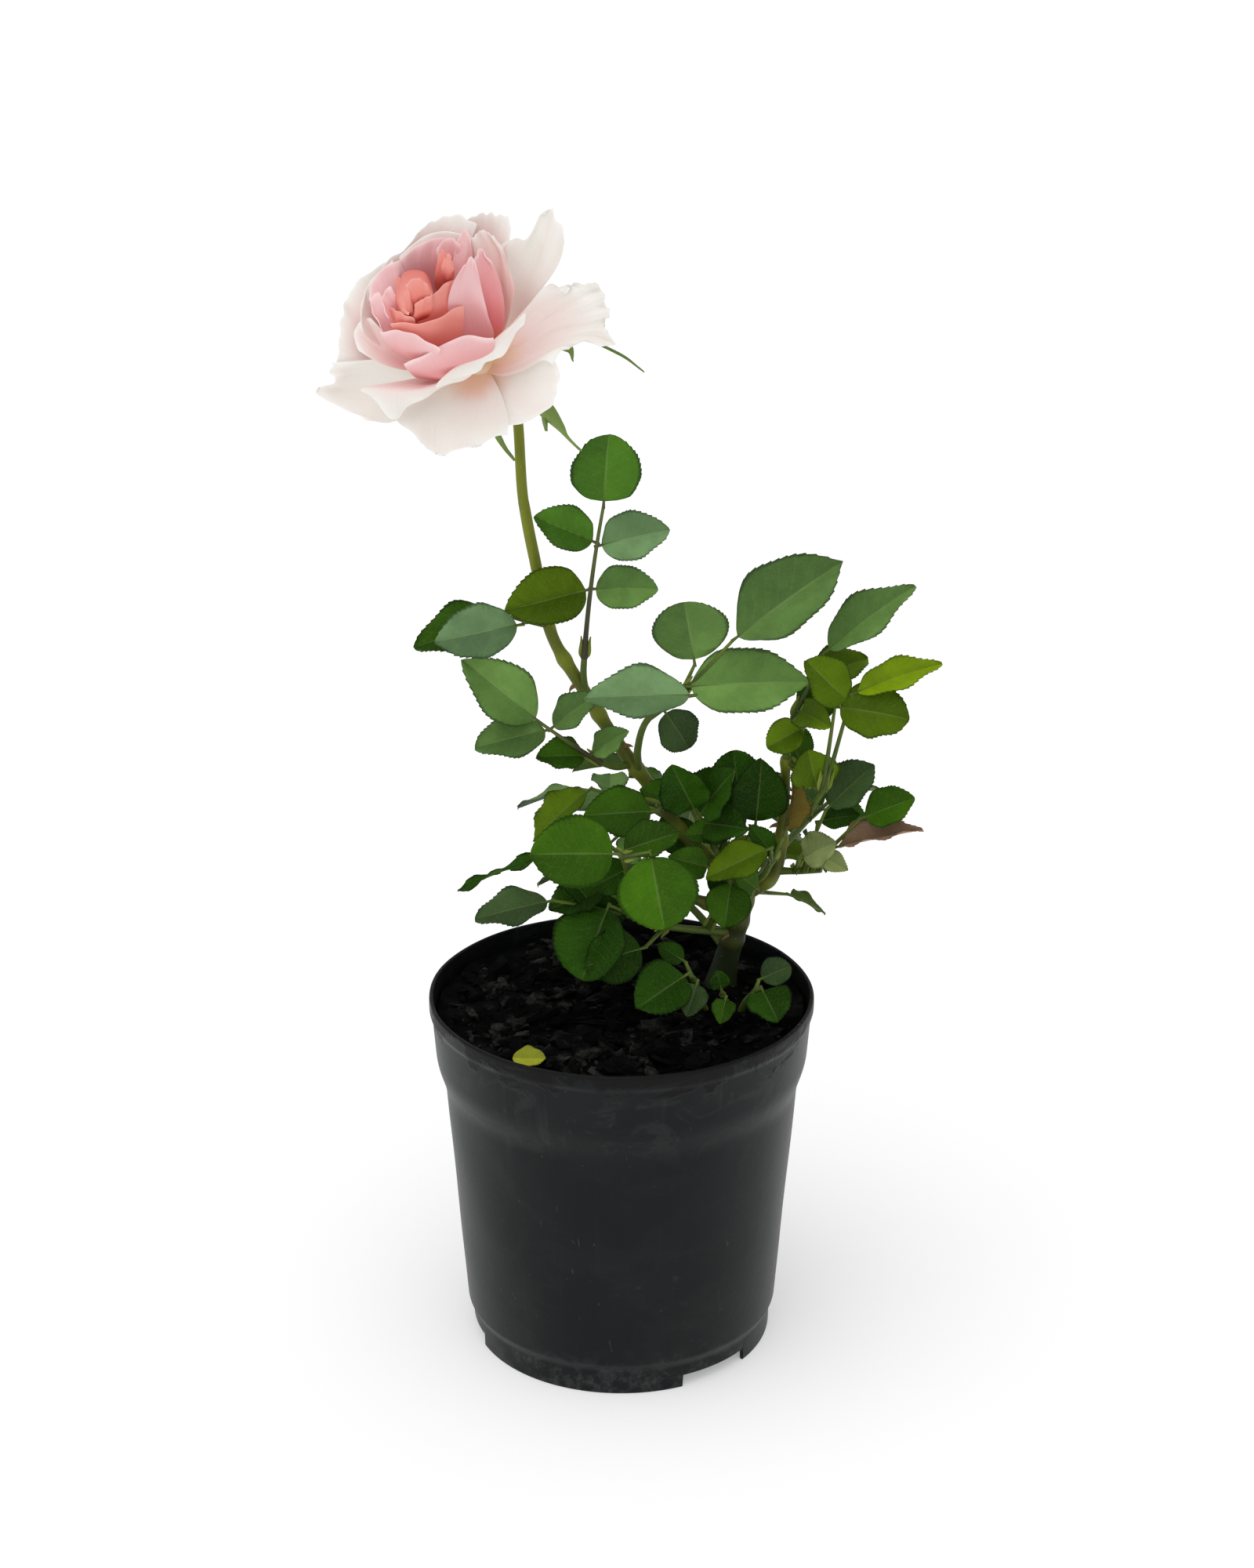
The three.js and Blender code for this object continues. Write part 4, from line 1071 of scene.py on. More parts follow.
@dataclass(frozen=True)
class Cane:
    """One tapering limb along a course, with the shares of its length where leaves join it."""

    name: str
    course: tuple[Point, ...]
    foot: float
    tip: float
    nodes: tuple[float, ...] = ()
    flare: float = 0.0
    prickles: tuple[tuple[float, float], ...] = ()
    shade: tuple[float, float] = (0.3, 0.45)

    def bells(self, t: Array, height: float, reach: float) -> Array:
        """The sum over the nodes of height exp(-(d / reach)^2), where d is the way from t to the node."""
        each = (height * np.exp(-(((t - at) * self.line.length / reach) ** 2)) for at in self.nodes)
        return sum(each, np.zeros_like(t))

    def radius(self, t: Array) -> Array:
        """The source's taper and root flare, with a swelling at each node."""
        return mixed(self.foot, self.tip, t) + self.flare * np.exp(-7 * t) + self.bells(t, 0.55, 2.4)

    @property
    def line(self) -> Course:
        """The middle line."""
        return Course(np.array(self.course))

    def bark(self, sides: int = 28) -> Grid:
        """The limb with long low ridges that wander round it, as sines of the turn and the way along it.

        Args:
            sides: the corners of a ring.

        Returns:
            The limb.
        """
        rings = max(12, int(self.line.length / 0.9))
        t = np.linspace(0, 1, rings)
        turn = np.linspace(0, 2 * np.pi, sides + 1)
        run = t[:, None] * self.line.length
        ridge = np.sin(5 * turn[None] + 0.35 * np.sin(run / 9)) * 0.045
        ridge = ridge + np.sin(9 * turn[None] - run / 14) * 0.02
        ridge = ridge + 0.05 * np.sin(run / 3.1 + 2 * np.sin(turn)[None])
        radius = self.radius(t)
        tone = mixed(self.shade[0], self.shade[1], t) + self.bells(t, 0.35, 3.5)
        return tube(self.line.along(t), radius, sides, 0, tone, ridge * (radius[:, None] / 2.5))

    def thorns(self) -> list[Grid]:
        """Short hooked prickles: cones that bend back, each at a (share, turn) of the limb.

        Returns:
            The prickles.
        """
        out = []
        for share, turn in self.prickles:
            at, ahead = self.line.along(np.array([share, min(1.0, share + 0.01)]))
            way = unit(ahead - at)
            side = unit(np.cross(way, [0.3, 1.0, 0.1]))
            out_way = unit(np.cos(turn) * side + np.sin(turn) * np.cross(way, side))
            foot = at + out_way * (float(self.radius(np.array([share]))[0]) - 0.35)
            line = bezier(foot, foot + out_way * 1.9, foot + out_way * 2.9 - way * 1.3, np.linspace(0, 1, 9))
            out.append(tube(line, 0.95 * (1 - np.linspace(0, 1, 9)) ** 0.8 + 0.03, 8, 1, 0.5))
        return out


@dataclass
class Stems:
    """The stock and its four canes, each a limb with bark relief, joined in one piece."""

    canes: tuple[Cane, ...] = (
        Cane("stock", ((34, 17, 120.0), (37, 16.5, 134), (41, 16, 150), (43.5, 15.5, 160.5)), 4.3, 3.3,
             (0.45, 0.62, 0.8, 0.96), 1.5, ((0.5, 1.2), (0.7, -2.0)), (-0.5, 0.25)),
        Cane("flower_cane", ((42.5, 16, 155), (30, 15.5, 167.5), (20.5, 15, 178.4), (11.2, 15, 192.6),
                             (-0.6, 14, 209.9), (-12.2, 12, 230), (-22.4, 12, 248.6), (-26.3, 12.5, 266),
                             (-31.5, 15, 293.6)),
             2.6, 1.75, (0.13, 0.21, 0.31, 0.37, 0.52, 0.66), 0.0,
             ((0.18, 2.4), (0.29, -0.4), (0.43, 2.9), (0.6, 0.3), (0.79, 2.2)), (0.1, 0.8)),
        Cane("right_cane", ((42.5, 15.7, 155), (51.5, 15, 162.5), (54.2, 13, 180), (54.9, 10, 207)), 2.5, 1.5,
             (0.16, 0.45, 0.97), 0.0, ((0.55, 0.4), (0.75, 2.8))),
        Cane("left_cane", ((38.5, 16.3, 146), (26, 6, 157), (10, -9, 168), (2, -18, 178)), 2.1, 1.2,
             (0.25, 0.96)),
        Cane("back_cane", ((38.5, 15.6, 142.4), (36, 27, 154), (30, 39, 164), (26, 46, 172)), 2.1, 1.3,
             (0.35, 0.97)),
    )

    def build(self) -> bpy.types.Object:
        """Joins the limbs, their prickles and the neck that runs into the hip.

        Returns:
            The piece.
        """
        grids = [cane.bark() for cane in self.canes]
        for cane in self.canes:
            grids += cane.thorns()
        top = self.canes[1].course[-3:]
        hip = [BLOOM_AT - BLOOM_AXIS * (HIP_LENGTH + below) for below in (6, -1)]
        neck = Course(np.array([*top, *hip]))
        t = np.linspace(0, 1, 70)
        grids.append(tube(neck.along(t), mixed(1.84, 1.66, t) + 0.35 * ease(t, 0.9, 1), 24, 0, 0.85))
        finishes = [
            StalkFinish("cane_bark", "7d8522", "1f2a10", "55622a").material(),
            StalkFinish("prickle", "8a5a3c", "6b6a30", "a07850").material(),
        ]
        return dress(make_piece("canes", grids, finishes), "stems", *(cane.name for cane in self.canes))


# ------------------------------------------------------------------ foliage
FRONT, ABOVE, LEFT, BACK = (0.05, -0.85, 0.5), (0.0, -0.45, 0.9), (-0.3, -0.7, 0.66), (0.0, 0.5, 0.85)


@dataclass(frozen=True)
class Leaf:
    """A compound leaf as in the solids: joint, apex, the way its upper face looks, and its share of the stem.

    sides are other leaflets, each a share of the stalk, an apex and, where they differ, a hue and a fold.
    pairs of more stand back from the joint by the seeded rule. broad is width over length, narrow that of the
    other leaflets. hue is the end leaflet's colour where it isn't the spray's, and fold how far its halves
    close where the rule doesn't say.
    """

    joint: Point
    apex: Point
    face: Point
    broad: float
    at: float = 0.97
    narrow: float | None = None
    bow: Point = (0.0, 0.0, 0.0)
    sides: tuple[tuple[Any, ...], ...] = ()
    pairs: int = 0
    gap: float = 0.5
    spread: float = 70.0
    hue: Hue | None = None
    fold: float | None = None


@dataclass(frozen=True)
class Spray:
    """One stem with its leaves: the node's name, the stem's course and radii, and the leaves' colour.

    stalk is the number of its bark among the stalks' finishes.
    """

    name: str
    course: tuple[Point, ...]
    foot: float
    tip: float
    hue: Hue
    leaves: tuple[Leaf, ...]
    stalk: int = 0


SPRAYS = (
    Spray("upper_right_leaf", ((-11.6, 12, 229), (-12.3, 9.5, 236), (-12, 8, 243)), 1.25, 1.0, Hue.FRESH, (
        Leaf((-5.5, 2, 296), (-4.2, -1, 319.5), FRONT, 0.96, narrow=0.68, bow=(-1.5, 0, 0), hue=Hue.FRESH,
             sides=((0.76, (-27, 0, 293), Hue.FRESH, 0.6), (0.74, (15, 0, 289), Hue.GREY),
                    (0.46, (-37, -2, 262), Hue.OLIVE, 0.62), (0.46, (11.6, 1, 269), Hue.MID))),
    ), 1),
    Spray("upper_left_leaf", ((-23.6, 12.2, 252.5), (-28, 9, 254.5), (-31, 8, 255.5)), 1.2, 0.9, Hue.GREY, (
        Leaf((-37, 9.5, 256.5), (-69, 11, 246), LEFT, 0.5, hue=Hue.DEEP),
        Leaf((-32, 2.5, 256), (-60, -4, 252.8), FRONT, 0.62),
    )),
    Spray("left_leaf", ((3.6, 14.4, 203), (-1.5, 10, 203.5), (-7, 6.5, 206.5)), 1.25, 1.0, Hue.MID, (
        Leaf((-26.7, -2, 224), (-50, -7, 246.5), LEFT, 0.58, bow=(1, 0, -1.5), narrow=0.66,
             sides=((0.84, (-47.3, -9, 218.5)), (0.84, (-9.2, -3, 234), Hue.MID, 0.3),
                    (0.2, (-27.6, -1, 212), Hue.DEEP), (0.2, (1, 1, 220)))),
    ), 1),
    Spray("crossing_leaf", ((5.8, 14.4, 200), (5.6, 8, 211), (9, 1, 224), (20, -4, 234)), 1.35, 0.95,
          Hue.GREY, (
        Leaf((36.4, -3, 252.6), (70.8, 3, 278.3), (-0.2, -0.8, 0.6), 0.58, hue=Hue.MID),
        Leaf((24, -1, 243.5), (21, 9, 262), (0, -0.7, 0.7), 1.2, hue=Hue.MID),
        Leaf((24, -7, 235), (-11.5, -11, 237), (0, -0.72, 0.7), 0.5, fold=0.45),
        Leaf((21, -4.5, 237), (61, -8, 241), (0, -0.8, 0.6), 0.56, hue=Hue.MID, fold=0.34),
        Leaf((14, 4, 226), (23, 7, 211), FRONT, 0.85, at=0.62, hue=Hue.BLUE),
    )),
    Spray("right_top_leaves", ((54.9, 10, 205), (55.2, 9, 213), (57, 8, 222)), 1.4, 1.0, Hue.MID, (
        Leaf((66.7, 5, 245.5), (94, 8, 269), LEFT, 0.44, narrow=0.66, fold=0.5, hue=Hue.MID,
             sides=((0.12, (67, -8, 226), Hue.OLIVE), (0.55, (82, 17, 241), Hue.OLIVE))),
        Leaf((60.5, 3, 220.5), (48, -1, 215), FRONT, 0.85, at=0.3, hue=Hue.OLIVE),
        Leaf((65, 6, 197), (62, 3, 212), FRONT, 1.1, at=0.1, hue=Hue.OLIVE),
        Leaf((61, 9, 222), (67, 5, 234), FRONT, 1.0, at=0.8, hue=Hue.DEEP),
    )),
    Spray("right_leaf", ((54.2, 12.8, 181), (60.5, 8, 186), (68, 3, 199)), 1.25, 0.9, Hue.OLIVE, (
        Leaf((75.5, 1, 232.5), (104, 2, 244.5), (-0.1, -0.7, 0.7), 0.38, narrow=0.8, hue=Hue.LIME,
             sides=((0.9, (61, -3, 245), None, 0.2),)),
        Leaf((70, 0, 228.5), (93.6, -6, 227.5), (-0.1, -0.7, 0.7), 0.86, at=0.9, fold=0.22),
    )),
    Spray("far_right_leaves", ((52.6, 14.8, 164), (60, 12, 165), (67, 8, 167)), 1.3, 0.9, Hue.BLUE, (
        Leaf((68.5, 8, 189), (84, 12, 204), (-0.1, -0.6, 0.8), 0.8, at=0.5, narrow=0.62),
        Leaf((80, 5, 187), (97, 2, 195.6), (-0.1, -0.7, 0.7), 0.74, at=0.7, hue=Hue.LAWN),
        Leaf((71, 6, 176), (99, -2, 187.5), (-0.2, -0.4, 0.9), 0.34, hue=Hue.BRONZE, fold=0.9),
        Leaf((60, 5, 172.5), (71, -1, 181), (-0.1, -0.8, 0.6), 0.85, at=0.4, hue=Hue.PALE),
        Leaf((64, 4, 176), (76, 2, 169.5), (-0.1, -0.8, 0.6), 0.55, at=0.6, hue=Hue.PALE),
        Leaf((66, 12, 183), (80, 10, 187), (-0.1, -0.7, 0.7), 0.6, at=0.8, hue=Hue.DARK),
    )),
    Spray("centre_leaves", ((41.5, 14.5, 157), (36, 10.5, 166), (31, 8, 176)), 1.6, 1.1, Hue.DARK, (
        Leaf((25, 3, 190), (17, -3, 208), LEFT, 0.84, sides=((0.85, (35, -3, 207)), (0.7, (40.5, -7, 189)))),
        Leaf((40, 8.5, 191), (37, 15, 207.5), (-0.2, -0.7, 0.7), 1.0, at=0.8),
        Leaf((45, 9, 183), (47, 5, 207), FRONT, 0.8, at=0.5),
        Leaf((30, 1, 171), (16, -5, 177), FRONT, 0.7, at=0.3, hue=Hue.DEEP),
        Leaf((40, 4, 184), (21, 0, 183), (0, -0.7, 0.7), 0.56, at=0.6, hue=Hue.LAWN),
        Leaf((30, 14, 168), (40, 10, 157), FRONT, 0.9, at=0.15),
        Leaf((24, 16, 171), (14, 14, 183), LEFT, 0.85, at=0.5),
        Leaf((43, 18, 178), (29, 17, 187), FRONT, 0.8, at=0.8),
        Leaf((22, 12, 190), (7, 10, 196), (-0.2, -0.7, 0.7), 0.7, at=0.9, hue=Hue.DEEP),
    )),
    Spray("front_leaves", ((43, 14.5, 158.5), (48, 9, 165), (50.5, 5, 172)), 1.5, 1.0, Hue.LAWN, (
        Leaf((50, 0, 178.5), (28.5, -9, 172.5), (0, -0.6, 0.75), 0.58, fold=0.3, hue=Hue.OLIVE),
        Leaf((52, 6, 172), (43, 2, 186), (0.1, -0.8, 0.5), 0.5, at=0.7, hue=Hue.DARK),
        Leaf((46, 8, 160), (39, 2, 168), FRONT, 0.8, at=0.3, hue=Hue.DEEP),
        Leaf((54.5, 3, 182), (59, 1, 202), (0.6, -0.6, 0.5), 0.5, hue=Hue.UMBER, fold=0.8),
    )),
    Spray("front_left_leaves", ((2.6, -17, 176.5), (1.5, -20, 181), (0.5, -21.5, 184.5)), 1.3, 1.0,
          Hue.LAWN, (
        Leaf((-1, -23, 186), (-29, -28, 188.5), FRONT, 0.84),
        Leaf((9.5, -21.5, 186), (14, -31, 162.5), (0.05, -0.95, 0.3), 1.04),
        Leaf((-0.5, -18, 184.5), (19.5, -14, 190.5), (-0.1, -0.7, 0.7), 0.66, hue=Hue.DEEP),
        Leaf((4, -14, 178), (-10, -18, 172), FRONT, 0.8, at=0.5, hue=Hue.DARK),
        Leaf((6, -12, 176), (20, -12, 172), FRONT, 0.75, at=0.5, hue=Hue.DARK),
        Leaf((-6, -20, 190), (-54, -29, 181.5), (0, -0.1, 1), 0.07, hue=Hue.DARK),
    )),
    Spray("middle_left_leaf", ((13.6, 15, 189.5), (14, 9, 190), (13.5, 5, 191)), 1.2, 0.9, Hue.DEEP, (
        Leaf((-10, 3, 198.5), (-31, 1, 182), (-0.2, -0.5, 0.85), 0.55, hue=Hue.OLIVE),
        Leaf((11.5, -1, 192), (-12, -8, 194), (-0.1, -0.8, 0.6), 0.72),
    )),
    Spray("low_left_leaves", ((36.5, 15, 141), (24, 4, 147), (11, -6, 153)), 1.5, 1.1, Hue.DARK, (
        Leaf((-22.6, -14, 165.5), (-48, -20, 162.5), ABOVE, 0.6, bow=(0, 0, 2), hue=Hue.BLUE,
             sides=((0.6, (-20, -8, 176)),)),
        Leaf((-4, -12, 163), (-13.5, -25, 142), LEFT, 1.0),
        Leaf((8, -15, 149), (-11, -26, 148), FRONT, 0.85, at=0.85),
        Leaf((37, 4, 165), (34.5, -5, 152), FRONT, 1.0, at=0.3, hue=Hue.DEEP),
        Leaf((-5, -7, 166), (-24, -13, 163), (-0.1, -0.6, 0.8), 0.72, at=0.9),
        Leaf((2, -5, 162), (-10, -9, 156), FRONT, 0.9, at=0.9),
        Leaf((10, -6, 163), (1, -12, 160), FRONT, 0.8, at=0.8, hue=Hue.DEEP),
    )),
    Spray("back_leaves", ((26.4, 45.5, 171), (24, 48, 176), (21, 50, 180)), 1.3, 1.0, Hue.DEEP, (
        Leaf((6, 58, 186), (-17, 64, 184), BACK, 0.66, pairs=2, gap=0.55, spread=72),
        Leaf((38, 60, 180), (60, 66, 176), BACK, 0.7, pairs=1, gap=0.6, spread=70),
        Leaf((25, 64, 168), (24, 80, 156), (0, 0.7, 0.7), 0.8, at=0.4, pairs=1, gap=0.4, spread=76),
    )),
    Spray("back_left_leaves", ((17.6, 15, 182.4), (11, 21, 184), (4, 27, 186)), 1.4, 1.0, Hue.MID, (
        Leaf((-16, 35, 186), (-36, 40, 178), (-0.4, 0.2, 0.9), 0.72, pairs=1, gap=0.6, spread=70),
        Leaf((-2, 24, 172), (-17, 22, 158), (-0.6, -0.3, 0.75), 0.75, at=0.6, pairs=1, gap=0.5, spread=72),
    )),
    Spray("back_right_leaves", ((53.3, 14, 172), (59, 21, 175), (64, 27, 178)), 1.4, 1.0, Hue.DEEP, (
        Leaf((76, 38, 184), (90, 50, 180), (0.4, 0.3, 0.85), 0.7, pairs=1, gap=0.6, spread=70),
        Leaf((64, 34, 166), (70, 48, 158), (0.5, -0.2, 0.85), 0.78, at=0.5, pairs=1, gap=0.5, spread=74),
        Leaf((61, 32, 194), (58, 42, 208), (0, -0.4, 0.9), 0.7),
    )),
    Spray("rear_left_leaves", ((34.5, 17.5, 136), (24, 30, 144), (11, 38, 151)), 1.5, 1.0, Hue.MID, (
        Leaf((-10, 43, 155), (-30, 44, 148), (-0.2, 0.3, 0.9), 0.72, pairs=1, gap=0.55, spread=70),
        Leaf((8, 52, 150), (-4, 66, 143), (-0.2, 0.6, 0.75), 0.75, at=0.7, pairs=1, gap=0.45, spread=72),
    )),
    Spray("rear_right_leaves", ((36.6, 17, 141), (44, 30, 148), (50, 42, 154)), 1.5, 1.0, Hue.OLIVE, (
        Leaf((57, 58, 158), (64, 74, 150), (0.2, 0.5, 0.8), 0.72, pairs=1, gap=0.5, spread=72),
        Leaf((58, 36, 146), (72, 42, 138), (0.6, 0.1, 0.8), 0.72, at=0.6),
    )),
    Spray("sprout_left", ((29, -1, 118), (26, -7, 128), (24, -11, 136)), 1.3, 0.9, Hue.DARK, (
        Leaf((22.4, -13, 138.5), (5.9, -26, 132.5), (0, -0.75, 0.65), 0.88),
        Leaf((21.5, -8, 140.5), (12.5, -8, 147), LEFT, 0.7),
        Leaf((25.5, -14, 136), (22, -25, 129), FRONT, 0.75, at=0.6, hue=Hue.BLUE),
    )),
    Spray("sprout_middle", ((35, -6, 118), (34.5, -10, 125), (34, -12.5, 131)), 1.1, 0.8, Hue.DARK, (
        Leaf((33.6, -13.5, 132.5), (32, -15, 140), FRONT, 0.95),
        Leaf((35, -16, 131), (33, -26, 127), (0, -0.6, 0.8), 0.75, at=0.6, hue=Hue.DEEP),
    )),
    Spray("sprout_right", ((40, -3, 118), (42, -6, 125), (45, -9, 130)), 1.2, 0.9, Hue.DARK, (
        Leaf((47, -10.5, 132), (52, -25, 127.5), (0, -0.7, 0.7), 1.0),
        Leaf((46.5, -6, 133), (57, -4, 137.5), (0, -0.75, 0.66), 0.9, hue=Hue.BLUE),
    )),
)


@dataclass
class Leaflet:
    """One leaflet's place and build, as the source's rule gives them: way and face are one long."""

    root: Array
    way: Array
    face: Array
    length: float
    broad: float
    fold: float
    droop: float
    hue: Hue
    seed: float


@dataclass
class Foliage:
    """Every spray: toothed leaflets on their stalks by the source's seeded rule, with sheaths at the feet."""

    teeth: int = 16
    columns: int = 13
    thick: float = 0.34
    petiole: float = 0.9
    sheath_longest: float = 9.0
    sheath_share: float = 0.45
    sprays: tuple[Spray, ...] = SPRAYS
    leaflets: list[Leaflet] = field(default_factory=list)
    limbs: list[Grid] = field(default_factory=list)

    def grow(self, root: Array, way: Array, face: Array, length: float, broad: float, k: float, seed: float,
             hue: Hue, fold: float | None, slot: int) -> None:
        """Adds a leaflet whose fold and droop come from the seeded rule, with its own short stalk.

        Args:
            root: where it leaves its leaf's stalk.
            way: the way it points.
            face: the way its upper side looks.
            length: from root to apex.
            broad: its width over its length.
            k: its number in the rule.
            seed: its leaf's seed.
            hue: its colour.
            fold: how far its halves close, or None for the rule's.
            slot: its stalk's finish.
        """
        heading = unit(way)
        folded = 0.18 + 0.36 * float(chance(seed, k + 1)) if fold is None else fold
        droop = 0.04 + 0.12 * float(chance(seed, k + 2))
        clear = min(1.6, 0.08 * length)
        foot, free, own = root + heading * clear, length - clear, seed + 0.13 * k
        self.leaflets.append(Leaflet(foot, heading, unit(face), free, broad, folded, droop, hue, own))
        line = root + heading * np.linspace(-0.8, clear + 0.6, 6)[:, None]
        self.limbs.append(tube(line, np.linspace(0.62, 0.42, 6), 10, slot, 0.5))

    def compound(self, leaf: Leaf, foot: Array, seed: float, spray: Spray) -> None:
        """Grows one compound leaf: its stalk, end leaflet, side leaflets and pairs, as the source does.

        Args:
            leaf: the leaf.
            foot: where its stalk leaves the stem.
            seed: its seed.
            spray: the spray that it is part of.
        """
        joint, apex, face = np.array(leaf.joint, float), np.array(leaf.apex, float), unit(leaf.face)
        middle = (foot + joint) / 2 + np.array(leaf.bow)
        narrow = leaf.broad if leaf.narrow is None else leaf.narrow
        length = float(np.linalg.norm(apex - joint))
        t = np.linspace(0, 1, 30)
        stalk = bezier(foot, middle, joint, t)
        radius = mixed(self.petiole, 0.52, t) + 0.35 * np.exp(-((t / 0.09) ** 2))
        self.limbs.append(tube(stalk, radius, 14, spray.stalk, mixed(0.15, 0.85, ease(t, 0.2, 0.9))))
        end_hue = leaf.hue or spray.hue
        self.grow(joint, apex - joint, face, length, leaf.broad, 0, seed, end_hue, leaf.fold, spray.stalk)
        for n, (share, tip, *own) in enumerate(leaf.sides):
            at = bezier(foot, middle, joint, np.array(share))
            way = np.array(tip) - at
            hue, fold = (*own, None, None)[:2]
            size = float(np.linalg.norm(way))
            self.grow(at, way, face, size, narrow, 5 + n, seed, hue or spray.hue, fold, spray.stalk)
        reach = float(np.linalg.norm(joint - foot))
        for pair in range(leaf.pairs):
            share = 1 - leaf.gap * (pair + 1) * length / reach
            if share < 0.12:
                continue
            at = bezier(foot, middle, joint, np.array(share))
            ahead = unit((1 - share) * (middle - foot) + share * (joint - middle))
            up = unit(face - ahead * (face @ ahead))
            side = np.cross(up, ahead)
            for hand in (1, -1):
                k = 10 * (2 * pair + (1 if hand > 0 else 2))
                turn = np.radians(leaf.spread + 16 * (float(chance(seed, k + 3)) - 0.5))
                rise = up * 0.3 * (float(chance(seed, k + 4)) - 0.5)
                way = ahead * np.cos(turn) + side * hand * np.sin(turn) + rise
                normal = up + side * 0.5 * (float(chance(seed, k + 5)) - 0.5)
                size = length * (0.9 - 0.1 * pair) * (0.93 + 0.14 * float(chance(seed, k + 6)))
                self.grow(at, way, normal, size, narrow, k, seed, spray.hue, None, spray.stalk)
        self.sheath(stalk, face, spray.stalk)

    def sheath(self, stalk: Array, face: Array, slot: int) -> None:
        """Two narrow wings that clasp the foot of a stalk and end in free points.

        A point at u across (-1 to 1) and v along is spine + (0.5 + (u + 1) / 2 reach + 0.9 v^3) side + rise
        up, where reach swells in the middle and rise lifts the outer edge. The other wing goes to -side.

        Args:
            stalk: the stalk's points.
            face: the way the leaf's upper side looks.
            slot: the finish.
        """
        run = np.linalg.norm(stalk[-1] - stalk[0])
        length = min(self.sheath_longest, self.sheath_share * run)
        if length < 3:
            return
        v = np.linspace(0, 1, 12)[:, None]
        u = np.linspace(-1, 1, 7)[None, :]
        share = v * length / run
        ahead = stalk[6] - stalk[0]
        spine = stalk[0] + ahead * share[..., None] * len(stalk) / 7
        way = unit(ahead)
        side = unit(np.cross(face, way))
        up = np.cross(way, side)
        reach = (0.5 + 1.2 * np.sin(np.pi * np.clip(v, 0, 1) ** 0.7)) * (1 - 0.25 * v)
        for hand in (1, -1):
            out = hand * (0.5 + (u + 1) / 2 * reach)
            flare = 0.9 * v**3 * hand
            rise = 0.35 * (u + 1) * reach * (0.4 + v)
            middle = (spine + (out + flare)[..., None] * side + rise[..., None] * up)[None]
            uv = gridded((u + 1) / 2, v * 6)[None]
            thin = shell(middle, np.broadcast_to(up, middle.shape), 0.3, uv, (2, 2), np.array([0.7]))
            if hand < 0:
                for grid in thin:
                    grid.turned = not grid.turned
            self.limbs += thin

    def blades(self, leaflets: list[Leaflet], hues: list[Hue]) -> list[Grid]:
        """The leaflets' surfaces, all of one spray at once.

        A point at u across (-1 to 1) and v along is root + v length way + u reach side + lift up. reach is
        half the width times 1.06 sin(pi v^w)^b, where w sets its widest place and b how blunt its ends are,
        with forward teeth at the edge. lift is fold |u| reach less droop length v^2, with waves along the
        edge and the blade raised between its veins.

        Args:
            leaflets: the leaflets.
            hues: their colours, in the order of the piece's finishes.

        Returns:
            Upper and under sides, a pair for each colour.
        """
        steps = np.array([0.0, 0.45, 0.86])
        v = (np.arange(self.teeth)[:, None] + steps[None]).ravel() / self.teeth
        v = np.concatenate([v, [1.0]])
        tooth = np.tile(np.array([-0.35, 0.25, 1.0]), self.teeth)
        tooth = np.concatenate([tooth, [0.0]]) * ease(v, 0.04, 0.2) * (1 - ease(v, 0.93, 1.0))
        even = np.linspace(-1, 1, self.columns)
        u = np.sin(even * np.pi / 2) * 0.35 + even * 0.65
        v, tooth, u = v[None, :, None], tooth[None, :, None], u[None, None, :]

        def each(name: str) -> Array:
            """One number of every leaflet, shaped for the grid."""
            return np.array([getattr(leaflet, name) for leaflet in leaflets])[:, None, None]

        root, way = (np.array([getattr(b, key) for b in leaflets])[:, None, None] for key in ("root", "way"))
        face = np.array([b.face for b in leaflets])[:, None, None]
        up = unit(face - way * (face * way).sum(-1, keepdims=True))
        side = np.cross(up, way)
        length, seed = each("length"), each("seed")
        pick = [chance(seed, 60 + k) for k in range(8)]
        half = 0.5 * length * each("broad")
        rounder = ease(each("broad"), 0.75, 0.95)
        slender = 1 - ease(each("broad"), 0.5, 0.7)
        blunt = 0.58 + 0.14 * pick[0] - 0.14 * rounder + 0.2 * slender
        widest = 0.80 + 0.12 * pick[1] + 0.09 * rounder
        reach = half * 1.06 * np.clip(np.sin(np.pi * v**widest), 0, 1) ** blunt
        margin = np.abs(u) ** 5
        size = np.minimum(0.12 + 0.009 * length, 0.36)
        spread = np.abs(u) * reach + margin * tooth * size * 0.8
        forward = margin * np.clip(tooth, 0, 1) * size * 1.1
        phase = (v - 0.34 * np.abs(u)) * 8
        quilt = np.cos(2 * np.pi * phase) * np.abs(u) * (1 - margin) * 0.007 * length * ease(v, 0.05, 0.2)
        at_edge = 2 * np.pi * (1.6 + 1.4 * pick[2]) * v + 6 * pick[3] + np.sign(u) * 1.3
        wave = np.sin(at_edge) * margin * 0.042 * length
        cup = 0.10 * (pick[4] - 0.35) * (u * u) * reach
        twist = 0.22 * (pick[5] - 0.5) * u * reach * v
        swing = 0.05 * (pick[6] - 0.5) * length * v * v
        lift = each("fold") * np.abs(u) * reach - each("droop") * length * v * v + quilt + wave + cup + twist
        lift = lift * np.minimum(1, v * 8)
        along = length * v + forward * (1 - v**6)
        across = np.sign(u) * spread + swing
        middle = root + along[..., None] * way + across[..., None] * side + lift[..., None] * up
        normal = surface_normals(middle)
        normal = normal * np.sign((normal * up).sum(-1, keepdims=True) + 1e-9)
        uv = np.broadcast_to(gridded(u / 2 + 0.5, v), middle.shape[:-1] + (2,))
        tone = chance(seed, 77).reshape(-1)
        grids = []
        for number, hue in enumerate(hues):
            worn = np.array([b.hue is hue for b in leaflets])
            slots = (2 * number, 2 * number + 1)
            grids += shell(middle[worn], normal[worn], self.thick, uv[worn], slots, tone[worn])
        return grids

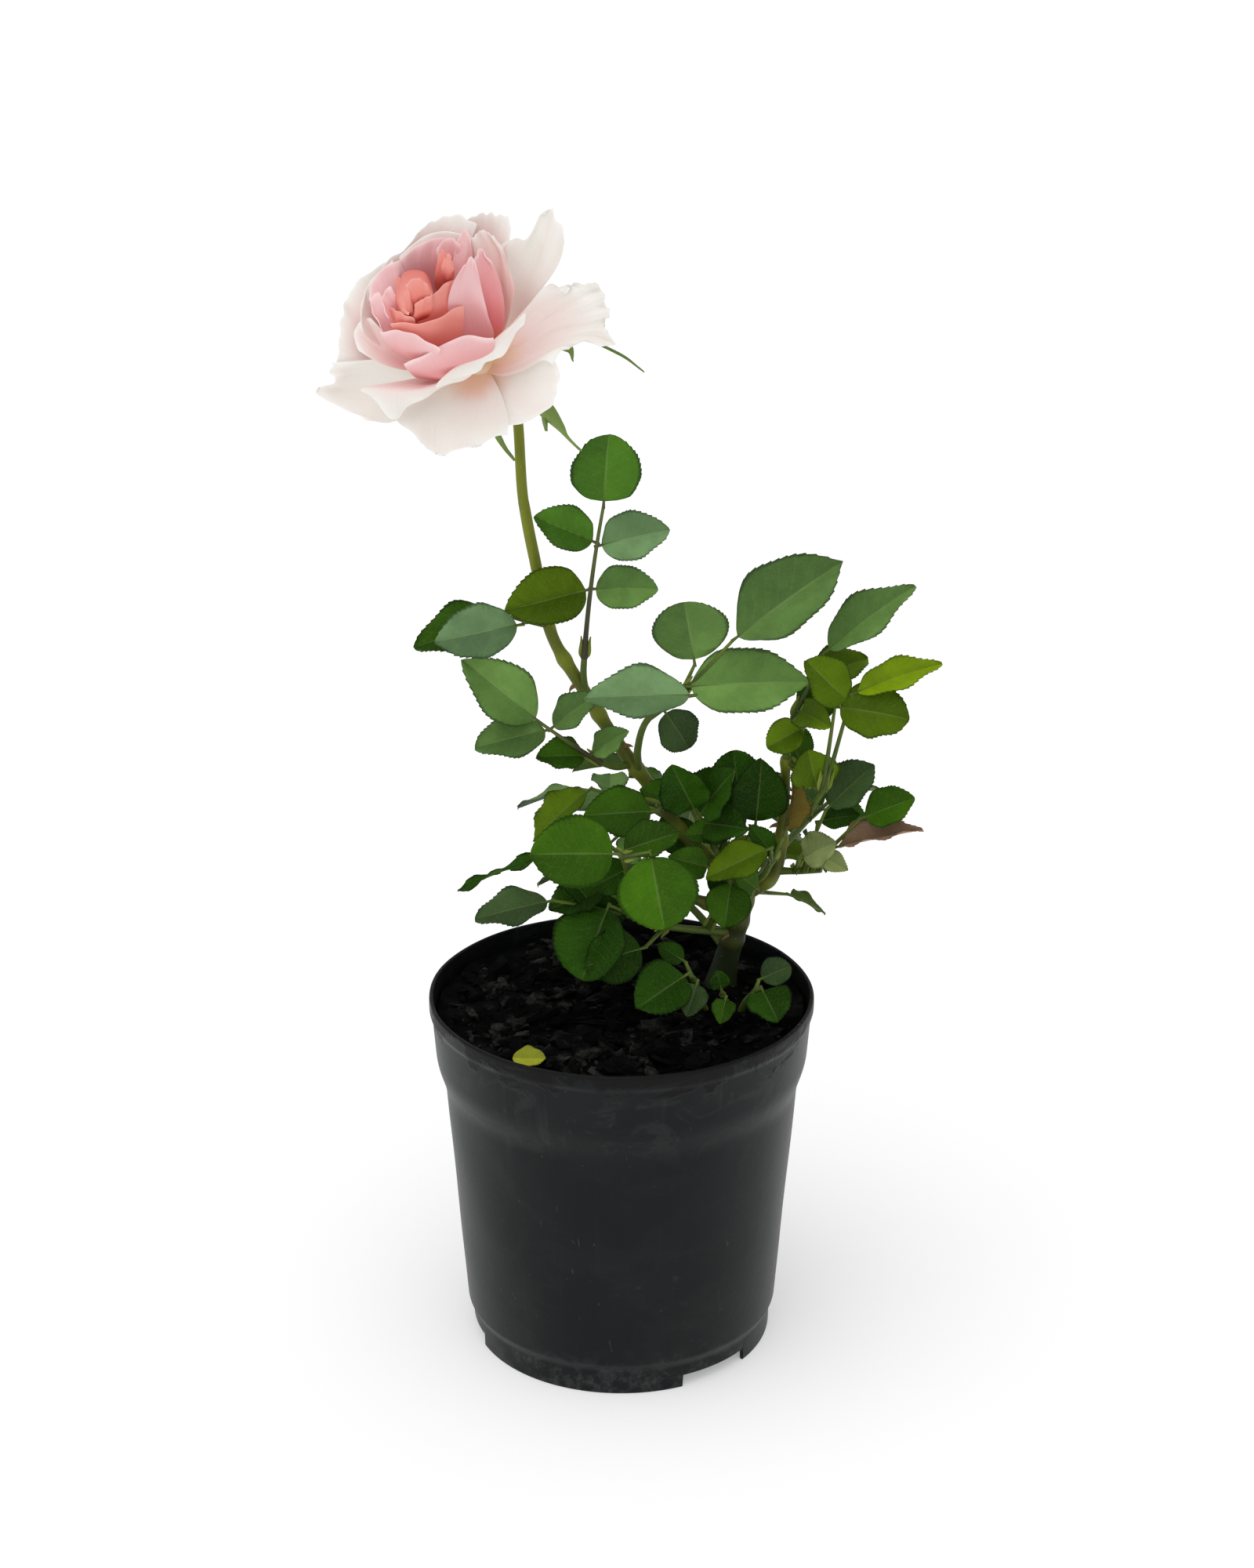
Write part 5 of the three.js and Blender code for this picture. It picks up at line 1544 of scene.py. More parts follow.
    def midribs(self, leaflets: list[Leaflet]) -> list[Grid]:
        """A tapering rib under each blade, along its middle.

        Args:
            leaflets: the leaflets.

        Returns:
            The ribs.
        """
        t = np.linspace(0, 0.93, 14)
        ribs = []
        for b in leaflets:
            up = unit(b.face - b.way * (b.face @ b.way))
            swing = 0.05 * (float(chance(b.seed, 66)) - 0.5) * b.length * t * t
            drop = -b.droop * b.length * t * t * np.minimum(1, t * 8) - 0.12
            side = np.cross(up, b.way)
            line = b.root + (b.length * t)[:, None] * b.way + drop[:, None] * up + swing[:, None] * side
            ribs.append(tube(line, mixed(0.42, 0.1, t), 8, 0, 0.6))
        return ribs

    def build(self) -> list[bpy.types.Object]:
        """Makes one piece of leaves a spray, and one of all the stems and stalks.

        Returns:
            The pieces.
        """
        finishes = {hue: [LeafFinish(hue).material(), LeafFinish(hue, True).material()] for hue in Hue}
        pieces, ribs = [], []
        for number, spray in enumerate(self.sprays):
            self.leaflets.clear()
            course = Course(np.array(spray.course, float))
            t = np.linspace(0, 1, 24)
            line = course.along(t)
            radius = mixed(spray.foot, spray.tip, t) + 0.25 * np.exp(-40 * t * t)
            self.limbs.append(tube(line, radius, 16, 0, 0.5))
            for n, leaf in enumerate(spray.leaves):
                foot = course.along(np.array([leaf.at]))[0]
                self.compound(leaf, foot, number + 1 + 0.37 * n, spray)
            hues = list(dict.fromkeys(b.hue for b in self.leaflets))
            worn = [finish for hue in hues for finish in finishes[hue]]
            piece = make_piece(f"{spray.name}_blades", self.blades(self.leaflets, hues), worn, 62.0)
            ribs += self.midribs(self.leaflets)
            pieces.append(dress(piece, "foliage", spray.name))
        bark = [
            StalkFinish("stalk_green", "607328", "35481a", "728238", 0.0001).material(),
            StalkFinish("stalk_brown", "5f6f34", "3a2e28", "4f4638", 0.0001).material(),
            StalkFinish("stalk_sheath", "7a8a32", "6c7c2a", "98a050", 0.0001).material(),
        ]
        twigs = make_piece("twigs", self.limbs + ribs, bark)
        pieces.append(dress(twigs, "foliage", *(spray.name for spray in self.sprays)))
        return pieces


@dataclass
class FallenLeaf:
    """A piece of yellowed leaf that has curled on the soil by the rim."""

    root: Point = (-35.3, -45.6, 123.6)
    way: Point = (1.0, -0.12, 0.0)
    face: Point = (0.0, -0.5, 0.87)
    length: float = 11.0
    broad: float = 0.72
    fold: float = 0.22
    droop: float = -0.05

    def build(self) -> bpy.types.Object:
        """Makes the leaf with the foliage's own blade, a little curled.

        Returns:
            The piece.
        """
        root, face = np.array(self.root), np.array(self.face)
        sizes = (self.length, self.broad, self.fold, self.droop)
        blade = Leaflet(root, unit(self.way), face, *sizes, Hue.YOLK, 3.3)
        grids = Foliage().blades([blade], [Hue.YOLK])
        finishes = [LeafFinish(Hue.YOLK).material(), LeafFinish(Hue.YOLK, True).material()]
        return dress(make_piece("yellowed_leaf", grids, finishes, 60.0), "fallen_leaf", "fallen_leaf")


# ------------------------------------------------------------------ the bloom
def spline(points: Array, t: Array) -> Array:
    """A uniform Catmull-Rom curve through the first axis of an array.

    Args:
        points: the array.
        t: shares of its spans, 0 to 1.

    Returns:
        The curve's points, one for each share.
    """
    p = np.concatenate([2 * points[:1] - points[1:2], points, 2 * points[-1:] - points[-2:-1]])
    spans = len(points) - 1
    x = t * spans
    i = np.minimum(x.astype(int), spans - 1)
    w = (x - i).reshape((-1,) + (1,) * (points.ndim - 1))
    a, b, c, d = p[i], p[i + 1], p[i + 2], p[i + 3]
    return b + 0.5 * w * (c - a + w * (2 * a - 5 * b + 4 * c - d + w * (3 * (b - c) + d - a)))


FINE_ROWS = 120  # steps of a petal's net once it is smooth


@dataclass(frozen=True)
class Petal:
    """One petal through a net of points in the bloom's frame, rows from claw to rim.

    A point is its distance along the bloom's zero, along its side and up its axis. tone is the petal's shade,
    from about 0 for pale to 1 for deep. ruffle is the height of the waves in its rim, corner how far its
    corners are cut round. A cream one wears the second pair of its ring's finishes.
    """

    tone: float
    net: tuple[tuple[Point, ...], ...]
    ruffle: float = 0.25
    waves: int = 3
    corner: float = 0.06
    cream: bool = False
    seed: float = 0.0

    def middle(self, rows: int, columns: int) -> Array:
        """The middle surface: a smooth surface through the net, with an uneven rim, waves and folds.

        At u across (-1 to 1) and v along, the net is read at v (1 - corner |u|^3 + scallops v^6), where a
        petal with a still rim has no scallops. The point then moves along the normal by ruffle times three
        sines: of u, growing with v^4; of v, growing with |u|^3 v; and a slow one of both, growing with v.

        Args:
            rows: points from claw to rim.
            columns: points across.

        Returns:
            The points, (rows, columns, 3).
        """
        net = np.array(self.net, float)
        u = np.linspace(0, 1, columns)
        v = (1 - (1 - np.linspace(0, 1, rows)) ** 1.25)[:, None]
        fine = spline(np.swapaxes(spline(net, np.linspace(0, 1, FINE_ROWS + 1)), 0, 1), u)
        across = (2 * u - 1)[None]
        nick = np.exp(-(((across - 1.4 * float(chance(self.seed, 3)) + 0.7) / 0.10) ** 2))
        scallop = 0.016 * np.sin(8 * across + 7 * self.seed) + 0.009 * np.sin(21 * across + 3 * self.seed)
        scallop = (scallop - 0.03 * nick) * (self.ruffle > 0.3)
        at = v * (1 - self.corner * np.abs(across) ** 3 + scallop * v**6)
        row = np.clip(at * FINE_ROWS, 0, FINE_ROWS - 0.001)
        low = row.astype(int)
        share = (row - low)[..., None]
        column = np.broadcast_to(np.arange(columns), low.shape)
        local = fine[column, low] * (1 - share) + fine[column, low + 1] * share
        points = BLOOM_AT + local @ np.stack([BLOOM_ZERO, BLOOM_SIDE, BLOOM_AXIS])
        normal = surface_normals(points[None])[0]
        wave = np.sin(self.waves * 3.1 * across + 9 * self.seed) * v**4
        wave = wave + 0.5 * np.sin(9 * v + 4 * self.seed + 2 * np.sign(across)) * np.abs(across) ** 3 * v
        fold = 0.35 * np.sin(5.3 * across + 2.3 * self.seed + 2.2 * v) * v
        return points + (self.ruffle * (wave + fold))[..., None] * normal

    def grids(self, rows: int, columns: int, thick: float) -> list[Grid]:
        """The petal as a closed blade.

        Args:
            rows: points from claw to rim.
            columns: points across.
            thick: its thickness.

        Returns:
            Its inner and outer side.
        """
        middle = self.middle(rows, columns)[None]
        uv = gridded(np.linspace(0, 1, columns)[None, :], np.linspace(0, 1, rows)[:, None])[None]
        faces = (2, 3) if self.cream else (0, 1)
        return shell(middle, surface_normals(middle), thick, uv, faces, np.array([self.tone]))


GUARDS = (
    Petal(-0.1, (  # upright
        ((2.5, -1.5, 3), (1.5, -1, 3), (1, -0.5, 3), (0, 0, 3)),
        ((19.5, -2.5, 14), (16, 0, 12), (12.5, 0, 13), (9.5, -1, 16)),
        ((35.5, -9.5, 27), (30.5, -2, 24), (24.5, 3.5, 25), (18, 4, 30)),
        ((44.5, -7.5, 33), (46.5, 4, 36), (34.5, 2, 36), (26, 6, 37)),
    ), ruffle=0.95, seed=1.3),
    Petal(0.04, (  # right
        ((-0.5, -3.5, 6), (0, -3.5, 6), (0.5, -3, 6), (1, -2.5, 6), (1, -2, 6), (1, -1.5, 6), (1, -1, 6),
         (1, -0.5, 6), (1, -0.5, 6)),
        ((2.5, -11, 7), (5, -10.5, 7), (7.5, -10, 8), (9, -9.5, 9), (10, -8.5, 10), (11, -7.5, 11),
         (12, -7.5, 13), (12.5, -7, 15), (13, -6.5, 17)),
        ((10, -16.5, 8), (16, -15.5, 8), (20.5, -15.5, 9), (23.5, -13.5, 10), (25.5, -13, 12),
         (26.5, -11.5, 14), (27, -10, 16), (26.5, -9.5, 19), (25.5, -10, 23)),
        ((16.5, -20, 9), (26.5, -20, 8), (31.5, -21, 8), (35.5, -21, 10), (37.5, -20.5, 13),
         (38.5, -18.5, 16), (38, -15.5, 19), (35, -13, 22), (31, -11.5, 25)),
        ((19, -22, 9), (29.5, -21, 7), (37, -29, 6), (38.5, -22.5, 9), (42.5, -23, 12),
         (43, -18.5, 14), (44.5, -15, 17), (38.5, -14, 21), (33, -12.5, 25)),
    ), ruffle=2.1, waves=7, seed=2.3),
    Petal(-0.4, (  # lower right
        ((-1.5, -0.5, 5), (-0.5, -1.5, 5), (0, -2, 5), (0.5, -2.5, 5)),
        ((-6.5, -10, 4), (-1, -12, 3), (4.5, -11.5, 4), (9, -9, 6)),
        ((-8, -17.5, 2), (2, -23, 2), (10.5, -21.5, 4), (17, -15.5, 7)),
        ((-8.5, -22.5, 0), (6.5, -30.5, 1), (16, -27, 4), (21, -21, 8)),
    ), ruffle=0.95, seed=3.3),
    Petal(-0.4, (  # front
        ((-3, -0.5, 8), (-2, -1, 7), (0, -2.5, 7), (1, -3, 6)),
        ((-14.5, -0.5, 10), (-12.5, -8, 7), (-8, -13, 5), (-0.5, -15.5, 4)),
        ((-25.5, 0, 13), (-21.5, -13.5, 8), (-13.5, -22.5, 5), (-3, -25, 3)),
        ((-33.5, -5.5, 15), (-27, -23, 8), (-16, -27, 4), (-6, -29.5, 2)),
    ), ruffle=0.95, seed=4.3),
    Petal(-0.25, (  # lower left
        ((-1.5, 2, 5), (-1.5, 1, 5), (-1.5, 0.5, 5), (-1.5, -0.5, 5)),
        ((-13, -0.5, 15), (-17.5, 3, 10), (-20.5, 3, 8), (-19.5, -1, 6)),
        ((-24, 8, 25), (-32, 12.5, 19), (-36.5, 9.5, 16), (-33.5, -3, 11)),
        ((-41, 17.5, 30), (-40.5, 12, 27), (-47.5, 11, 26), (-40.5, 2, 15)),
    ), ruffle=0.95, seed=5.3),
    Petal(0.5, (  # left
        ((0.5, 2.5, 4), (0, 2.5, 4), (-0.5, 2, 4), (-1, 2, 4)),
        ((-3.5, 17.5, 19), (-10.5, 16.5, 17), (-15.5, 13.5, 14), (-19, 8, 12)),
        ((-5, 22.5, 34), (-17, 22, 31), (-25, 18, 27), (-30, 12, 22)),
        ((-2.5, 24, 43), (-19, 28.5, 38), (-27.5, 23.5, 35), (-38, 14.5, 29)),
    ), ruffle=0.95, seed=6.3),
    Petal(0.65, (  # top left
        ((2, 2, 4), (1.5, 2, 4), (1, 2.5, 4), (0.5, 2.5, 4)),
        ((7, 8.5, 19), (2.5, 13.5, 18), (-2, 16.5, 17), (-7.5, 16, 17)),
        ((15.5, 8.5, 36), (8, 17, 35), (-0.5, 22.5, 34), (-9, 23.5, 33)),
        ((27, 10, 46), (17, 21, 46), (6.5, 23, 44), (-7.5, 25, 41)),
    ), ruffle=0.32, seed=7.3),
    Petal(0.6, (  # top
        ((3, 1, 4), (2.5, 1.5, 4), (2, 1.5, 4), (1.5, 2, 4)),
        ((13, 1.5, 17), (10.5, 7.5, 17), (7, 11.5, 17), (3, 13.5, 17)),
        ((23.5, 0.5, 30), (21.5, 8, 33), (17, 13, 34), (9.5, 15, 34)),
        ((35, 7.5, 40), (31.5, 10.5, 43), (25.5, 14.5, 44), (17.5, 16.5, 44)),
    ), ruffle=0.32, seed=8.3),
)
RIMS = (
    Petal(0.85, (  # inner right
        ((1, -1, 6), (2.5, -1.5, 6), (3.5, -2.5, 6)),
        ((7.5, -1.5, 16), (9.5, -2, 14), (13, -3.5, 15)),
        ((13.5, 0.5, 30), (19, -0.5, 28), (21.5, -6.5, 27)),
        ((19, 3, 42), (25, 2.5, 38), (25, -2, 33)),
        ((21, 5, 46), (25.5, 4.5, 45), (27.5, 2.5, 40)),
    ), ruffle=0.5, seed=11.3),
    Petal(0.3, (  # rim right
        ((-1.5, 0, 7), (-0.5, 0, 6), (0, 0, 5), (1, -0.5, 5), (2, -2, 6)),
        ((-7.5, -8.5, 17), (-4, -6.5, 15), (0, -7, 14), (5.5, -7.5, 14), (10.5, -8.5, 15)),
        ((-13.5, -19, 27), (-7, -18, 27), (1.5, -16.5, 25), (12, -16, 25), (20.5, -14.5, 25)),
        ((-14.5, -17.5, 25), (-6, -17, 21), (2, -17, 19), (9, -16.5, 19), (18, -15, 21)),
    ), ruffle=0.5, seed=12.3),
    Petal(0.3, (  # rim left
        ((-2, 1, 6), (-2, 1.5, 5), (-1.5, 0.5, 5), (-1.5, 0, 5), (-0.5, -0.5, 5)),
        ((-19.5, 1.5, 16), (-15.5, -2, 14), (-11, -4, 12), (-6.5, -5, 11), (-1.5, -4.5, 9)),
        ((-33, -5, 31), (-26.5, -9, 27), (-18.5, -12.5, 23), (-10, -12, 19), (-0.5, -10.5, 15)),
        ((-34, -4, 28), (-32, -9, 17), (-23.5, -9.5, 18), (-14, -10, 16), (-5, -8.5, 12)),
    ), ruffle=0.5, seed=13.3),
)
CUPS = (
    Petal(0.5, (  # crescent low
        ((-3, 1, 8), (-2, 0.5, 7), (-0.5, -1, 7), (1, -2.5, 8)),
        ((-17, -2, 17), (-11.5, -7.5, 16), (-4.5, -10.5, 16), (3, -12.5, 17)),
        ((-19, -7, 27), (-10.5, -15.5, 28), (-1.5, -19, 28), (7.5, -18.5, 25)),
        ((-18.5, -8.5, 33), (-9, -15.5, 36), (1.5, -19.5, 37), (9, -21, 31)),
    ), seed=21.3),
    Petal(0.42, (  # crescent left
        ((-4, 3, 10), (-3, 1.5, 10), (-1.5, -0.5, 10)),
        ((-17, 2.5, 24), (-13, -2.5, 22), (-6.5, -7.5, 21)),
        ((-19.5, 2.5, 34), (-15.5, -6.5, 33), (-8.5, -14.5, 31)),
        ((-18.5, 0, 42), (-11, -10.5, 43), (-5.5, -21.5, 40)),
    ), seed=22.3),
    Petal(-0.08, (  # almond
        ((-1.5, 2, 10), (0, 1, 9), (2, -0.5, 9)),
        ((-2.5, -3, 24), (2, -5.5, 20), (8.5, -9.5, 20)),
        ((2.5, -6.5, 38), (7.5, -6.5, 33), (11.5, -11.5, 31)),
        ((8.5, -5.5, 44), (12.5, -6.5, 42), (15, -7, 38)),
        ((16.5, -4.5, 47), (18, -5.5, 48), (18, -7, 46)),
    ), seed=23.3),
    Petal(0.6, (  # almond behind
        ((1, 0.5, 9), (2.5, -1, 9), (3.5, -2, 9)),
        ((6.5, -5.5, 20), (8, -7.5, 18), (11, -8, 18)),
        ((10.5, -4.5, 32), (14, -6.5, 29), (17, -7, 26)),
        ((16, -4, 42), (19.5, -3, 39), (21, -3, 34)),
        ((19, -3.5, 46), (21.5, -2.5, 46), (21.5, -4, 43)),
    ), seed=24.3),
    Petal(0.25, (  # fold right
        ((1, 0.5, 14), (2, -0.5, 14), (2.5, -1, 14)),
        ((4.5, -1, 30), (6, -2.5, 30), (8.5, -2.5, 30)),
        ((10.5, 1.5, 42), (13, -1, 42), (16.5, 0.5, 40)),
        ((16.5, 3, 49), (21, 4.5, 50), (21, 1.5, 48)),
    ), seed=25.3),
    Petal(0.55, (  # fold deep
        ((0, 1.5, 14), (1, 0.5, 14), (2, -0.5, 14)),
        ((3, 3, 30), (4.5, 1.5, 30), (6.5, -1.5, 31)),
        ((7.5, 5, 42), (10.5, 3, 42), (13.5, 1, 42)),
        ((10.5, 6, 50), (15, 4.5, 51), (18, 1.5, 50)),
    ), seed=26.3),
    Petal(0.45, (  # back wall
        ((0.5, 2, 12), (-0.5, 3, 12), (-1.5, 3.5, 12)),
        ((6, 3, 27), (1.5, 8, 26), (-4, 10, 26)),
        ((11.5, 5, 41), (4.5, 11.5, 41), (-2.5, 15, 40)),
        ((18, 6, 49), (9.5, 11.5, 49), (-0.5, 16, 47)),
    ), seed=27.3),
    Petal(-0.1, (  # left wall
        ((-0.5, 2.5, 12), (-1.5, 2.5, 12), (-2, 2.5, 12)),
        ((-3, 10, 26), (-7, 10, 25), (-10.5, 6.5, 24)),
        ((-3, 14, 40), (-11, 14.5, 38), (-16, 12.5, 36)),
        ((0, 16, 47), (-10, 19, 44), (-16.5, 18.5, 40)),
    ), seed=28.3),
    Petal(0.15, (  # nested a
        ((-2, 2.5, 12), (-1.5, 2, 12), (-0.5, 2, 12)),
        ((-10.5, -1, 30), (-12, -1, 29), (-13, -1.5, 28)),
        ((-12, 4.5, 41), (-16, 4, 39), (-17.5, 1, 37)),
        ((-12, 12, 46), (-16.5, 9, 44), (-17.5, 0.5, 42)),
    ), seed=32.3),
    Petal(0.25, (  # nested b
        ((-2, 2, 13), (-1, 1.5, 13), (-0.5, 1.5, 13)),
        ((-6, 0, 32), (-8.5, 0, 31), (-10, -1, 30)),
        ((-8, 2.5, 44), (-11.5, 1.5, 43), (-13.5, -1, 41)),
        ((-7.5, 6.5, 49), (-12, 3.5, 48), (-14, -2.5, 46)),
    ), seed=33.3),
    Petal(0.5, (  # left outer
        ((-1.5, 2.5, 10), (-3, 2.5, 10), (-4, 3, 10)),
        ((-4, 16, 23), (-13, 14.5, 21), (-17.5, 7, 20)),
        ((-4.5, 17, 40), (-17, 18, 36), (-23.5, 10, 33)),
        ((-3, 20, 45), (-15, 20.5, 41), (-23.5, 13.5, 37)),
    ), cream=True, seed=29.3),
    Petal(0.6, (  # back outer
        ((1.5, 2.5, 12), (0, 3.5, 12), (-1, 5, 12)),
        ((11.5, 3.5, 27), (5, 11, 27), (-2.5, 15.5, 26)),
        ((17, 6.5, 41), (8.5, 15, 41), (-2.5, 19.5, 39)),
        ((21, 7.5, 46), (11.5, 17, 46), (-0.5, 22, 43)),
    ), cream=True, seed=30.3),
    Petal(0.8, (  # left low
        ((-1, 2, 8), (-2, 2, 8), (-2.5, 2, 8)),
        ((-9.5, 1, 20), (-13.5, 2, 18), (-16, 0, 18)),
        ((-17.5, 7.5, 30), (-22, 8, 27), (-24.5, 4.5, 25)),
        ((-19.5, 15.5, 37), (-25.5, 17.5, 33), (-29.5, 14.5, 30)),
    ), cream=True, seed=31.3),
)
HEARTS = (
    Petal(0.2, (  # throat
        ((-3, 2.5, 12), (-2, 0.5, 12), (-0.5, -1, 12)),
        ((-13, 0.5, 28), (-8.5, -4.5, 26), (-1.5, -5, 21)),
        ((-15, -2, 38), (-8, -11, 37), (2.5, -8, 29)),
        ((-14, -3, 45), (-4.5, -13, 44), (8, -7, 37)),
    ), seed=41.3),
    Petal(0.3, (  # throat right
        ((-2, 1.5, 14), (-1, 0, 14), (0, -1.5, 14)),
        ((-5, -3.5, 30), (-1, -5.5, 28), (4, -2, 22)),
        ((-7, -6.5, 40), (-1, -8, 40), (7.5, -3, 34)),
        ((-7.5, -7, 45), (2.5, -7.5, 47), (11.5, -2, 43)),
    ), seed=42.3),
    Petal(0.2, (  # wrap low
        ((-5.5, 3, 18), (-5, 2, 18), (-4.5, 1.5, 18)),
        ((-15.5, 2, 34), (-13.5, -1.5, 34), (-10.5, -4.5, 33)),
        ((-13.5, 1, 41), (-11.5, -4, 42), (-8.5, -8.5, 41)),
        ((-11.5, 3, 45), (-10, -4.5, 47), (-7, -10, 46)),
    ), seed=43.3),
    Petal(0.15, (  # bud left
        ((-11.5, 11.5, 22), (-11, 11, 22), (-10.5, 10, 22)),
        ((-5, 15.5, 40), (-8.5, 8, 41), (-11, 4, 38)),
        ((-4, 9, 45.5), (-7.5, 0.5, 47.5), (-9.5, -4.5, 45.5)),
        ((-3.5, 1.5, 47.5), (-5, -6.5, 49.5), (-7.5, -9, 46.5)),
    ), seed=44.3),
    Petal(0.3, (  # bud hood
        ((-11.5, 14, 20), (-11, 14, 20), (-10.5, 13.5, 20), (-10, 12.5, 20)),
        ((-9.5, 1, 42), (-4.5, 3, 42), (-1, -0.5, 42), (-1, -5.5, 42)),
        ((-8.5, 3.5, 45), (-2, 8.5, 46.5), (3, 3, 46.5), (2, -5, 45)),
        ((-7, -1.5, 48.5), (-2.5, -0.5, 50.5), (1.5, -5, 50.5), (1.5, -9, 48)),
        ((-6, -5, 48), (-4, -8, 50), (-1.5, -11.5, 50), (1, -10, 48)),
    ), seed=45.3),
    Petal(0.5, (  # bud core
        ((-10, 8, 24), (-9.5, 8, 24), (-9, 7.5, 24)),
        ((-9, -1, 40), (-7, -7, 42), (-3, -7, 41)),
        ((-5, -1, 46), (-2.5, -5.5, 47.5), (1, -7, 46)),
    ), seed=46.3),
    Petal(0.5, (  # upright bud
        ((-2.5, 4.5, 20), (-2, 4, 20), (-1, 3, 20)),
        ((2, 4, 34), (3.5, 3, 33), (5.5, 2, 34)),
        ((3.5, 1.5, 42), (6.5, -1, 43), (10, -1, 42)),
        ((7, 0, 48), (10, -3, 50), (11.5, -3, 47)),
        ((9.5, 0, 51), (12, 0.5, 52), (12, -2.5, 50)),
    ), seed=47.3),
    Petal(0.3, (  # bud wrap
        ((-10, 6.5, 26), (-9.5, 6, 26), (-9, 5.5, 26)),
        ((-6, -6, 47), (-3, -9, 48), (0, -9.5, 47)),
        ((-4.5, -5, 51), (-1, -9, 52.5), (1.5, -10.5, 50.5)),
        ((-3, -0.5, 51), (1, -4.5, 53), (2.5, -8, 51.5)),
    ), seed=51.3),
    Petal(0.2, (  # whorl left
        ((-10, 6.5, 26), (-10, 6.5, 26), (-10, 6, 26)),
        ((-9, -4, 43), (-8, -6, 44), (-7, -6.5, 44)),
        ((-6.5, -5, 49), (-5.5, -8.5, 50.5), (-5, -8.5, 49)),
        ((-4.5, -3, 50), (-3.5, -5.5, 52), (-4, -7.5, 51)),
    ), seed=48.3),
    Petal(0.3, (  # whorl right
        ((-10, 6, 26), (-9.5, 6, 26), (-9.5, 5.5, 26)),
        ((-7.5, -7.5, 43), (-5, -9.5, 44), (-2, -10.5, 44)),
        ((-5.5, -9.5, 48), (-3.5, -12, 49), (0.5, -11.5, 48)),
        ((-4.5, -9.5, 50), (-1.5, -12.5, 52), (2, -12, 51)),
    ), seed=49.3),
    Petal(0.15, (  # upright fold
        ((-2.5, 4.5, 20), (-2, 4, 20), (-1.5, 3, 20)),
        ((6, 0.5, 42), (7, -2.5, 43), (9, -1.5, 42)),
        ((8.5, -4, 50), (10, -7.5, 51.5), (11.5, -7.5, 50)),
        ((11, -2.5, 51), (13, -3.5, 52.5), (12.5, -5, 51.5)),
    ), seed=50.3),
)
SEPALS = (
    Petal(0.6, (  # leafy
        ((0, -3, -2), (1, -3, -2), (2, -3, -2)),
        ((3.5, -11.5, -5), (5.5, -11.5, -4), (7, -10.5, -5)),
        ((5.5, -21, -8), (8, -22.5, -6), (10.5, -19.5, -7)),
        ((7, -26, -11), (8.5, -28, -9), (10, -27.5, -10)),
        ((8, -30, -13), (8.5, -31, -12), (9, -30.5, -13)),
        ((9.5, -35.5, -16), (9.5, -36, -16), (10, -36, -16)),
    ), ruffle=0.15, corner=0, seed=61.3),
    Petal(0.6, (  # lobe
        ((6.5, -19, -8), (7.5, -19, -8), (8, -19, -8)),
        ((5, -21.5, -9), (6, -23, -8), (7, -22, -9)),
        ((4, -24.5, -11), (4, -24.5, -11), (4.5, -25, -11)),
    ), ruffle=0.15, corner=0, seed=62.3),
    Petal(0.45, (  # by stem
        ((-1.5, -2, -2), (-1, -3, -2), (0, -3.5, -2)),
        ((-7, -4, -8), (-5.5, -6, -7), (-4.5, -6.5, -8)),
        ((-10.5, -8.5, -13), (-8.5, -9, -12), (-8.5, -10, -13)),
        ((-11, -12, -18), (-10, -12, -18), (-9.5, -12, -18)),
        ((-10.5, -15.5, -22), (-10, -15.5, -22), (-10, -16, -22)),
    ), ruffle=0.15, corner=0, seed=63.3),
    Petal(0.5, (  # short
        ((2.5, -2, -2), (3, -1, -2), (3.5, -0.5, -2)),
        ((17.5, -0.5, -4), (18.5, 0.5, -4), (19, 1.5, -4)),
        ((23.5, -4, -8), (24.5, -4, -7), (26, -2.5, -8)),
        ((23.5, -7, -10), (23.5, -7, -10), (23.5, -7.5, -10)),
    ), ruffle=0.15, corner=0, seed=64.3),
    Petal(0.2, (  # thread
        ((3, -0.5, -2), (3.5, 0, -2), (4, 0, -2)),
        ((18, 0.5, -3), (18.5, 0.5, -3), (19, 1, -3)),
        ((29.5, -7.5, -4), (29.5, -7.5, -4), (30, -7, -4)),
        ((36.5, -22.5, -5), (37, -22.5, -5), (37.5, -22.5, -5)),
        ((40, -34.5, -6), (40, -34.5, -6), (40, -34.5, -6)),
    ), ruffle=0.15, corner=0, seed=65.3),
)


